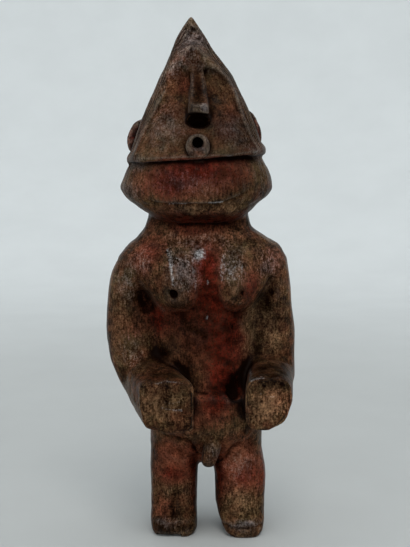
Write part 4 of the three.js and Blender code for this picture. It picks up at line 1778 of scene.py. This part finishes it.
@dataclass
class Bench:
    """A bench for laying out a material's nodes."""

    tree: bpy.types.NodeTree

    def node(self, kind: str, **settings: object) -> bpy.types.Node:
        """Adds a node.

        Args:
            kind: Its type.
            settings: Its settings.

        Returns:
            The node.
        """
        made = self.tree.nodes.new(kind)
        for name, value in settings.items():
            setattr(made, name, value)
        return made

    def feed(self, socket: Socket, value: object) -> None:
        """Puts a value into a socket.

        Args:
            socket: The socket.
            value: A number, a colour or another node's output.
        """
        if isinstance(value, bpy.types.NodeSocket):
            self.tree.links.new(value, socket)
        elif isinstance(value, tuple) and socket.type == "RGBA":
            socket.default_value = (*value, 1.0)
        else:
            socket.default_value = value

    def attribute(self, name: str) -> Socket:
        """The number that a named attribute holds at each vertex."""
        return self.node("ShaderNodeAttribute", attribute_name=name).outputs["Fac"]

    def sum(self, kind: str, *values: object) -> Socket:
        """One sum on up to three numbers.

        Args:
            kind: The kind of sum.
            values: The numbers.

        Returns:
            The result.
        """
        made = self.node("ShaderNodeMath", operation=kind)
        for socket, value in zip(made.inputs, values):
            self.feed(socket, value)
        return made.outputs[0]

    def times(self, first: object, second: object) -> Socket:
        """The product of two numbers."""
        return self.sum("MULTIPLY", first, second)

    def weigh(self, *parts: tuple[object, object], plus: object = 0.0, held: bool = False) -> Socket:
        """A weighted sum: each part's value times its weight, all added to plus.

        Args:
            parts: Pairs of a value and its weight.
            plus: What they are added to.
            held: Whether the result is held from 0 to 1.

        Returns:
            The result.
        """
        total = plus
        for value, weight in reversed(parts):
            total = self.sum("MULTIPLY_ADD", value, weight, total)
        total.node.use_clamp = held
        return total

    def grade(
        self, value: object, low: float, high: float, to_low: float = 0.0, to_high: float = 1.0
    ) -> Socket:
        """Spreads low to high over to_low to to_high on an S-curve, and holds it there.

        Args:
            value: What is graded.
            low: Where the curve leaves to_low.
            high: Where it reaches to_high.
            to_low: The result at low and below.
            to_high: The result at high and above.

        Returns:
            The result.
        """
        made = self.node("ShaderNodeMapRange", interpolation_type="SMOOTHSTEP")
        for socket, number in zip(made.inputs, (value, low, high, to_low, to_high)):
            self.feed(socket, number)
        return made.outputs[0]

    def blend(self, share: object, first: object, second: object, kind: str = "MIX") -> Socket:
        """A colour between two.

        Args:
            share: How much of the second shows.
            first: The first colour.
            second: The second colour.
            kind: How they are mixed.

        Returns:
            The colour.
        """
        made = self.node("ShaderNodeMix", data_type="RGBA", blend_type=kind)
        self.feed(made.inputs[0], share)
        self.feed(made.inputs[6], first)
        self.feed(made.inputs[7], second)
        return made.outputs[2]

    def millimetres(self, stretch: Place = (1.0, 1.0, 1.0)) -> Socket:
        """The place on the object in millimetres.

        Args:
            stretch: What it is divided by along each axis.

        Returns:
            The place.
        """
        mapping = self.node("ShaderNodeMapping")
        self.feed(mapping.inputs["Vector"], self.node("ShaderNodeTexCoord").outputs["Object"])
        mapping.inputs["Scale"].default_value = tuple(1.0 / METRES / part for part in stretch)
        return mapping.outputs["Vector"]

    def cloud(self, place: Socket, size: float, detail: float, rough: float) -> Socket:
        """Noise whose largest lumps are about size across.

        Args:
            place: The place in millimetres.
            size: The lumps' size.
            detail: How many finer layers lie on it.
            rough: How strong they are.

        Returns:
            The noise, about 0 to 1.
        """
        made = self.node("ShaderNodeTexNoise", noise_dimensions="3D")
        self.feed(made.inputs["Vector"], place)
        made.inputs["Scale"].default_value = 1.0 / size
        made.inputs["Detail"].default_value = detail
        made.inputs["Roughness"].default_value = rough
        return made.outputs["Fac"]


@dataclass(frozen=True)
class Grain:
    """The noises and the hair that the wood's colour, its sheen and its relief share."""

    streak: Socket
    fleck: Socket
    crust: Socket
    speck: Socket
    fine: Socket
    patchy: Socket
    mottle: Socket
    cut_hair: Socket
    lock: Socket

    @classmethod
    def lay_out(cls, bench: Bench, hair_spacing: float) -> "Grain":
        """Lays out the nodes of the grain.

        Formula: fine is the streaks and the flecks together, and it and mottle keep less of their
        distance from a half where the surface is smooth. The hair is a cosine of the way round the cap
        over the spacing, in the grooves and, the other way round, on the locks between them.

        Args:
            bench: The bench.
            hair_spacing: The distance between two of the grooves in the hair.

        Returns:
            The grain.
        """
        place = bench.millimetres()
        streak = bench.cloud(bench.millimetres((1.0, 1.0, 4.0)), 1.0, 3.0, 0.65)
        fleck = bench.cloud(place, 1.15, 4.0, 0.75)
        crust = bench.cloud(place, 6.0, 4.0, 0.6)
        calm = bench.weigh((bench.attribute("smooth"), -0.55), plus=1.0)
        fine = bench.weigh((streak, 0.42), (fleck, 0.58))
        fine = bench.weigh((bench.sum("SUBTRACT", fine, 0.5), calm), plus=0.5)
        mottle = bench.cloud(place, 4.2, 3.0, 0.6)
        mottle = bench.weigh((bench.sum("SUBTRACT", mottle, 0.5), calm), plus=0.5)
        wave = bench.times(bench.attribute("hair_way"), 2 * math.pi / hair_spacing)
        wave = bench.sum("COSINE", wave)
        kept = bench.times(bench.attribute("hair"), bench.grade(crust, 0.36, 0.60, 0.25, 1.0))
        return cls(
            streak=streak,
            fleck=fleck,
            crust=crust,
            speck=bench.cloud(place, 0.9, 1.0, 0.5),
            fine=fine,
            patchy=bench.weigh((crust, 0.5), (fine, 0.5)),
            mottle=mottle,
            cut_hair=bench.times(kept, bench.grade(wave, 0.0, 0.9)),
            lock=bench.times(kept, bench.grade(wave, -0.9, 0.1, 1.0, 0.0)),
        )


@dataclass(frozen=True)
class Coat:
    """A colour laid on the wood, with torn edges.

    name is the attribute that says how thick it lies and tear how much noise is added to that. From low to
    high of that sum it comes to cover, and most is the share that it then hides. dark is its colour in the
    darker places of the crust, where it has another one there.
    """

    name: str
    colour: Place
    tear: float
    low: float
    high: float
    most: float
    dark: Place | None = None

    def share(self, bench: Bench, grain: Grain) -> Socket:
        """How much the coat hides at a place.

        Formula: an S-curve from low to high over the attribute plus tear times noise from -1 to 1, times
        another one that is 0 where the attribute is 0, times most.

        Args:
            bench: The bench.
            grain: The grain of the wood.

        Returns:
            The share from 0 to 1.
        """
        thick = bench.attribute(self.name)
        jitter = bench.weigh((grain.fine, 2.0), plus=-1.0)
        torn = bench.grade(bench.weigh((jitter, self.tear), plus=thick), self.low, self.high)
        return bench.times(bench.times(torn, bench.grade(thick, 0.02, 0.3)), self.most)

    def cover(self, bench: Bench, grain: Grain, below: Socket) -> Socket:
        """Lays the coat on.

        Args:
            bench: The bench.
            grain: The grain of the wood.
            below: The colour that it is laid on.

        Returns:
            The colour with the coat on it.
        """
        colour = self.colour
        if self.dark is not None:
            colour = bench.blend(bench.grade(grain.patchy, 0.42, 0.58), self.dark, colour)
        return bench.blend(self.share(bench, grain), below, colour)


@dataclass(frozen=True)
class OldWood:
    """Old dark hardwood under a worn crust of red ochre, chalky earth and sooty black, and bare where it
    broke; shade and highlights are painted into its colour too.
    """

    heart: Place = (0.062, 0.028, 0.012)
    rust: Place = (0.070, 0.025, 0.012)
    deep: Place = (0.014, 0.007, 0.003)
    umber: Place = (0.122, 0.060, 0.028)
    olive: Place = (0.100, 0.064, 0.029)
    # paler colour of worn ridges, which also paints the highlights along the traced ridges
    worn_edge: Place = (0.160, 0.120, 0.088)
    # near black: the sooty crust, and the painted shade in hollows, creases, the hair's grooves and the
    # shade patches
    soot_and_shade: Place = (0.005, 0.0015, 0.0006)
    wash: Coat = Coat("ochre", (0.125, 0.034, 0.018), tear=1.0, low=0.15, high=0.6, most=0.75)
    ochre: Coat = Coat(
        "ochre", (0.120, 0.012, 0.006), tear=1.4, low=0.5, high=1.0, most=0.92, dark=(0.050, 0.006, 0.003)
    )
    bare: Coat = Coat("bare", (0.190, 0.108, 0.055), tear=1.5, low=0.1, high=1.1, most=0.85)
    # grey of the white clay, also the painted grey sheen on the tips and the brim's ends
    chalk_and_sheen: Coat = Coat("chalk_and_sheen", (0.165, 0.140, 0.136), tear=1.6, low=0.15, high=1.0, most=0.8)
    # white of the clay traces, also the painted highlight lines along edges
    chalk_and_glint_line: Coat = Coat("chalk_and_glint_line", (0.340, 0.335, 0.335), tear=1.5, low=0.2, high=1.0, most=0.75)
    mean_gloss: float = 0.1

    def wood(self, bench: Bench, grain: Grain) -> Socket:
        """The wood under the crust: nearly black in the grain, rusty in places and tan in others.

        Args:
            bench: The bench.
            grain: The grain of the wood.

        Returns:
            The colour.
        """
        place = bench.millimetres()
        tint = bench.grade(bench.cloud(place, 12.0, 3.0, 0.6), 0.40, 0.60)
        heart = bench.blend(tint, self.heart, self.rust)
        colour = bench.blend(bench.grade(grain.patchy, 0.38, 0.56), self.deep, heart)
        tan = bench.blend(tint, self.olive, self.umber)
        tan_share = bench.weigh((bench.cloud(place, 22.0, 2.0, 0.55), 0.45), (grain.fine, 0.55))
        return bench.blend(bench.grade(tan_share, 0.44, 0.60, 0.0, 0.75), colour, tan)

    def wear(self, bench: Bench, grain: Grain, colour: Socket) -> Socket:
        """Worn ridges show paler, with highlights painted along the traced ridges, and the tone changes in
        fine grains, in blotches and by the tone marks, which paint light and shade in places.

        Args:
            bench: The bench.
            grain: The grain of the wood.
            colour: The colour of the wood with its coats.

        Returns:
            The colour.
        """
        # worn ridges, and the highlights painted along the traced ridges, take the paler worn colour
        worn = bench.grade(bench.attribute("worn"), 0.2, 0.9, 0.0, 0.7)
        share = bench.weigh((grain.lock, 0.4), (worn, bench.grade(grain.fine, 0.4, 0.56)), held=True)
        colour = bench.blend(share, colour, self.worn_edge)
        tone = bench.grade(grain.fine, 0.30, 0.70, 0.38, 1.57)
        tone = bench.times(tone, bench.grade(grain.mottle, 0.34, 0.66, 0.54, 1.44))
        # the tone marks, which paint light and shade in places, scale the colour by powers of two
        tone = bench.times(tone, bench.sum("POWER", 2.0, bench.attribute("pale")))
        return bench.blend(1.0, colour, tone, "MULTIPLY")

    def darken(self, bench: Bench, grain: Grain, colour: Socket) -> Socket:
        """Paints shade into the hollows, the creases and the hair's grooves, darkens the hair a little and
        the sooty marks, many of which are painted shade, and adds small dark specks all over.

        Args:
            bench: The bench.
            grain: The grain of the wood.
            colour: The colour so far.

        Returns:
            The colour.
        """
        # painted shade: the sooty marks, many of them shade, the hollows, the creases and the hair's grooves
        # go towards near black
        dark = bench.weigh(
            (bench.attribute("soot_and_shade"), bench.grade(grain.patchy, 0.40, 0.58, 1.0, 0.55)),
            (bench.attribute("hair"), 0.15),
            (grain.cut_hair, 0.65),
            (bench.attribute("crease_shade"), 0.8),
            plus=bench.grade(bench.attribute("hollow_shade"), 0.35, 1.35, 0.0, 0.85),
            held=True,
        )
        colour = bench.blend(dark, colour, self.soot_and_shade)
        return bench.blend(bench.grade(grain.speck, 0.30, 0.44, 0.7, 0.0), colour, self.soot_and_shade)

    def polish(self, bench: Bench, grain: Grain, shader: bpy.types.Node) -> None:
        """Matt where the crust is thick or chalky, with a sheen at grazing angles and on worn ridges.

        Args:
            bench: The bench.
            grain: The grain of the wood.
            shader: The shader that gets the roughness and the sheen.
        """
        chalk_and_sheen = self.chalk_and_sheen.share(bench, grain)
        rough = bench.weigh((chalk_and_sheen, 0.375), (grain.crust, 0.3), plus=0.38, held=True)
        bench.feed(shader.inputs["Roughness"], rough)
        facing = bench.node("ShaderNodeLayerWeight").outputs["Facing"]
        rim = bench.weigh((bench.grade(facing, 0.62, 1.0), 0.45), plus=0.01)
        clean = bench.weigh((bench.attribute("soot_and_shade"), -0.9), plus=1.0)
        gloss = bench.weigh((bench.attribute("worn"), 0.15), (rim, clean), held=True)
        shader.inputs["Specular IOR Level"].default_value = self.mean_gloss
        bench.feed(shader.inputs["Specular IOR Level"], gloss)

    def make(self, hair_spacing: float) -> bpy.types.Material:
        """Lays out the material.

        Args:
            hair_spacing: The distance between two of the grooves in the hair.

        Returns:
            The material.
        """
        material = bpy.data.materials.new("old_wood")
        material.use_nodes = True
        bench = Bench(material.node_tree)
        shader = material.node_tree.nodes["Principled BSDF"]
        grain = Grain.lay_out(bench, hair_spacing)
        colour = self.wood(bench, grain)
        for coat in (self.wash, self.ochre, self.bare, self.chalk_and_sheen, self.chalk_and_glint_line):
            colour = coat.cover(bench, grain, colour)
        colour = self.darken(bench, grain, self.wear(bench, grain, colour))
        bench.feed(shader.inputs["Base Color"], colour)
        self.polish(bench, grain, shader)
        bump = bench.node("ShaderNodeBump")
        bump.inputs["Strength"].default_value = 0.9
        bump.inputs["Distance"].default_value = 0.35 * METRES
        relief = bench.weigh(
            (grain.cut_hair, -0.8),
            (grain.crust, 0.5),
            (grain.speck, 0.4),
            (grain.fleck, 0.8),
            (grain.streak, 0.7),
        )
        bench.feed(bump.inputs["Height"], relief)
        bench.feed(shader.inputs["Normal"], bump.outputs["Normal"])
        return material


@dataclass(frozen=True)
class PaleBoard:
    """The matt pale surface of the table and the wall behind it."""

    wall: Place = (0.790, 0.805, 0.800)
    table: Place = (0.500, 0.510, 0.500)

    def make(self) -> bpy.types.Material:
        """A matt grey, darker where it lies flat as a table, with faint clouds in it, as painted board has.

        Returns:
            The material.
        """
        material = bpy.data.materials.new("pale_board")
        material.use_nodes = True
        bench = Bench(material.node_tree)
        shader = material.node_tree.nodes["Principled BSDF"]
        place = bench.millimetres()
        apart = bench.node("ShaderNodeVectorMath", operation="LENGTH")
        bench.feed(apart.inputs[0], place)
        colour = bench.blend(bench.grade(apart.outputs["Value"], 250.0, 1250.0), self.table, self.wall)
        clouds = bench.grade(bench.cloud(place, 90.0, 4.0, 0.55), 0.2, 0.8, 0.95, 1.0)
        scaled = bench.node("ShaderNodeVectorMath", operation="SCALE")
        bench.feed(scaled.inputs[0], colour)
        bench.feed(scaled.inputs["Scale"], clouds)
        bench.feed(shader.inputs["Base Color"], scaled.outputs["Vector"])
        shader.inputs["Roughness"].default_value = 0.8
        return material


# The figure as a whole


@dataclass(frozen=True)
class CarvedFigure:
    """The whole figure: its parts, the marks on it and its finish."""

    head: Head = Head()
    trunk: Trunk = Trunk()
    arms: tuple[Arm, Arm] = (LEFT_ARM, RIGHT_ARM)
    legs: tuple[Leg, Leg] = (LEFT_LEG, RIGHT_LEG)
    hollows: Hollows = Hollows()
    surface: Surface = Surface()
    finish: OldWood = OldWood()
    low: Place = (-58.5, -47.2, -2.2)
    high: Place = (59.0, 47.0, 303.0)
    smoothing: tuple[float, ...] = (0.5, -0.52, 0.5, -0.52)
    sole_level: float = 0.35

    def rough_out(self) -> Block:
        """Carves the block: the masses first, then what is pared out of them.

        Returns:
            The carved block.
        """
        block = Block(self.low, self.high)
        self.trunk.carve(block)
        for limb in (*self.legs, *self.arms):
            limb.carve(block)
        self.trunk.hang_peg(block)
        self.hollows.carve(block)
        self.head.carve(block)
        return block

    def work_skin(self, block: Block, tools: Toolwork) -> tuple[Array, Array]:
        """Takes the skin off the block, evens it out and cuts the marks into it.

        Formula: each round of smoothing moves the vertices by its share of the way to their neighbours'
        mean, and the shares below zero bring back the size that the others take away. What ends up below
        sole_level is laid flat on the ground.

        Args:
            block: The carved block.
            tools: The tools that mark the skin.

        Returns:
            The vertices in millimetres, and the faces.
        """
        points, faces = block.skin()
        edges = edges_of(faces)
        for share in self.smoothing:
            points = points + share * (neighbour_mean(points, edges) - points)
        points[:, 2] = np.maximum(points[:, 2], 0.0)
        normals = skin_normals(points, faces)
        points = points + normals * tools.heights(points, normals)[:, None]
        points[:, 2] = np.where(points[:, 2] < self.sole_level, 0.0, points[:, 2])
        points[:, 1] = np.maximum(points[:, 1], STUMP_END_Y)
        return points, faces

    def build(self) -> bpy.types.Object:
        """Makes the piece: the carved skin, thinned to the triangle limit, with attributes and finish.

        Returns:
            The piece, at the origin.
        """
        block = self.rough_out()
        log.info("carved block: %s grid points", "x".join(map(str, block.distance.shape)))
        tools = Toolwork(self.head)
        points, faces = self.work_skin(block, tools)
        log.info("skin: %d vertices, %d faces", len(points), len(faces))
        dense = bpy.data.meshes.new("dense_skin")
        dense.from_pydata(points * METRES, [], faces)
        dense.shade_smooth()
        piece = bpy.data.objects.new("figure_carving", dense)
        bpy.context.scene.collection.objects.link(piece)
        thinner = piece.modifiers.new("thinner", "DECIMATE")
        thinner.ratio = min(1.0, MOST_TRIANGLES / (2 * len(faces)))
        evaluated = piece.evaluated_get(bpy.context.evaluated_depsgraph_get())
        piece.data = bpy.data.meshes.new_from_object(evaluated)
        piece.modifiers.clear()
        bpy.data.meshes.remove(dense)
        piece.data.shade_smooth()
        self.surface.tell(piece.data, block, tools)
        piece.data.materials.clear()
        piece.data.materials.append(self.finish.make(tools.hair_spacing))
        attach(piece, "root")
        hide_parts("carved_figure")
        log.info("piece %s: %d triangles", piece.name, len(piece.data.polygons))
        return piece


# The studio


@dataclass(frozen=True)
class Studio:
    """A pale table that rises into a wall all round, a soft lamp, a pale sky and the camera, in metres."""

    flat_radius: float = 0.9
    sweep_radius: float = 0.9
    wall_height: float = 1.4
    camera_place: Place = (0.003, -0.620, 0.235)
    camera_pitch: float = math.radians(7.47)
    camera_angle: float = math.radians(28.58)
    lamp_place: Place = (0.12, -0.8, 1.45)
    lamp_aim: Place = (0.0, 0.0, 0.15)
    lamp_side: float = 0.7
    lamp_watts: float = 7.0
    lamp_colour: Place = (1.0, 0.97, 0.93)
    sky_colour: Place = (0.90, 0.96, 1.0)
    sky_strength: float = 0.94
    board: PaleBoard = PaleBoard()

    def build_board(self) -> bpy.types.Object:
        """The table and the wall, one surface.

        Formula: a profile turned about the upright axis. It runs flat out to flat_radius, rises on a
        quarter circle of sweep_radius, and goes straight up.

        Returns:
            The board.
        """
        bend = np.linspace(0.0, np.pi / 2, 24)
        flat = np.linspace(0.0, self.flat_radius, 8)[1:-1]
        top = self.flat_radius + self.sweep_radius
        radii = np.concatenate([flat, self.flat_radius + self.sweep_radius * np.sin(bend), [top]])
        rise = self.sweep_radius * (1 - np.cos(bend))
        heights = np.concatenate([np.zeros(len(flat)), rise, [self.wall_height]])
        turns = np.linspace(0.0, 2 * np.pi, 96, endpoint=False)
        rings = np.stack([
            radii[:, None] * np.cos(turns),
            radii[:, None] * np.sin(turns),
            np.broadcast_to(heights[:, None], (len(radii), len(turns))),
        ], axis=-1).reshape(-1, 3)
        points = np.vstack([rings, [[0.0, 0.0, 0.0]]])
        ring = np.arange(len(turns))
        after = (ring + 1) % len(turns)
        rows = np.arange(len(radii) - 1)[:, None] * len(turns)
        above = rows + len(turns)
        quads = np.stack([rows + ring, above + ring, above + after, rows + after], axis=-1)
        middle = np.stack([ring, after, np.full(len(turns), len(points) - 1)], axis=-1)
        mesh = bpy.data.meshes.new("board")
        mesh.from_pydata(points, [], [*quads.reshape(-1, 4).tolist(), *middle.tolist()])
        mesh.shade_smooth()
        mesh.materials.append(self.board.make())
        board = bpy.data.objects.new("board", mesh)
        bpy.context.scene.collection.objects.link(board)
        return board

    def light(self) -> None:
        """Hangs a soft lamp high in front, unseen by the camera, and opens a pale sky over the wall."""
        glow = bpy.data.lights.new("front", "AREA")
        glow.size = self.lamp_side
        glow.energy = self.lamp_watts
        glow.color = self.lamp_colour
        lamp = bpy.data.objects.new("front", glow)
        lamp.location = self.lamp_place
        aim = Vector(self.lamp_aim) - lamp.location
        lamp.rotation_euler = aim.to_track_quat("-Z", "Y").to_euler()
        lamp.visible_camera = False
        bpy.context.scene.collection.objects.link(lamp)
        world = bpy.data.worlds.new("pale_sky")
        world.use_nodes = True
        sky = world.node_tree.nodes["Background"]
        sky.inputs["Color"].default_value = (*self.sky_colour, 1.0)
        sky.inputs["Strength"].default_value = self.sky_strength
        bpy.context.scene.world = world
        bpy.context.scene.view_settings.view_transform = "Standard"

    def set_camera(self) -> None:
        """Puts the camera where the photograph was taken from; its angle is that of the longer side."""
        lens = bpy.data.cameras.new("camera")
        lens.sensor_fit = "AUTO"
        lens.sensor_width = 36.0
        lens.lens = lens.sensor_width / 2 / math.tan(self.camera_angle / 2)
        lens.clip_start = 0.01
        lens.clip_end = 20.0
        camera = bpy.data.objects.new("camera", lens)
        camera.location = self.camera_place
        camera.rotation_euler = (math.pi / 2 - self.camera_pitch, 0.0, 0.0)
        bpy.context.scene.collection.objects.link(camera)
        bpy.context.scene.camera = camera


def main() -> None:
    """Builds the figure and the studio."""
    logging.basicConfig(level=logging.INFO, format="%(name)s: %(message)s")
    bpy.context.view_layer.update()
    studio = Studio()
    studio.set_camera()
    studio.build_board()
    studio.light()
    log.info("studio: board, lights and camera")
    CarvedFigure().build()


if __name__ == "__main__":
    main()
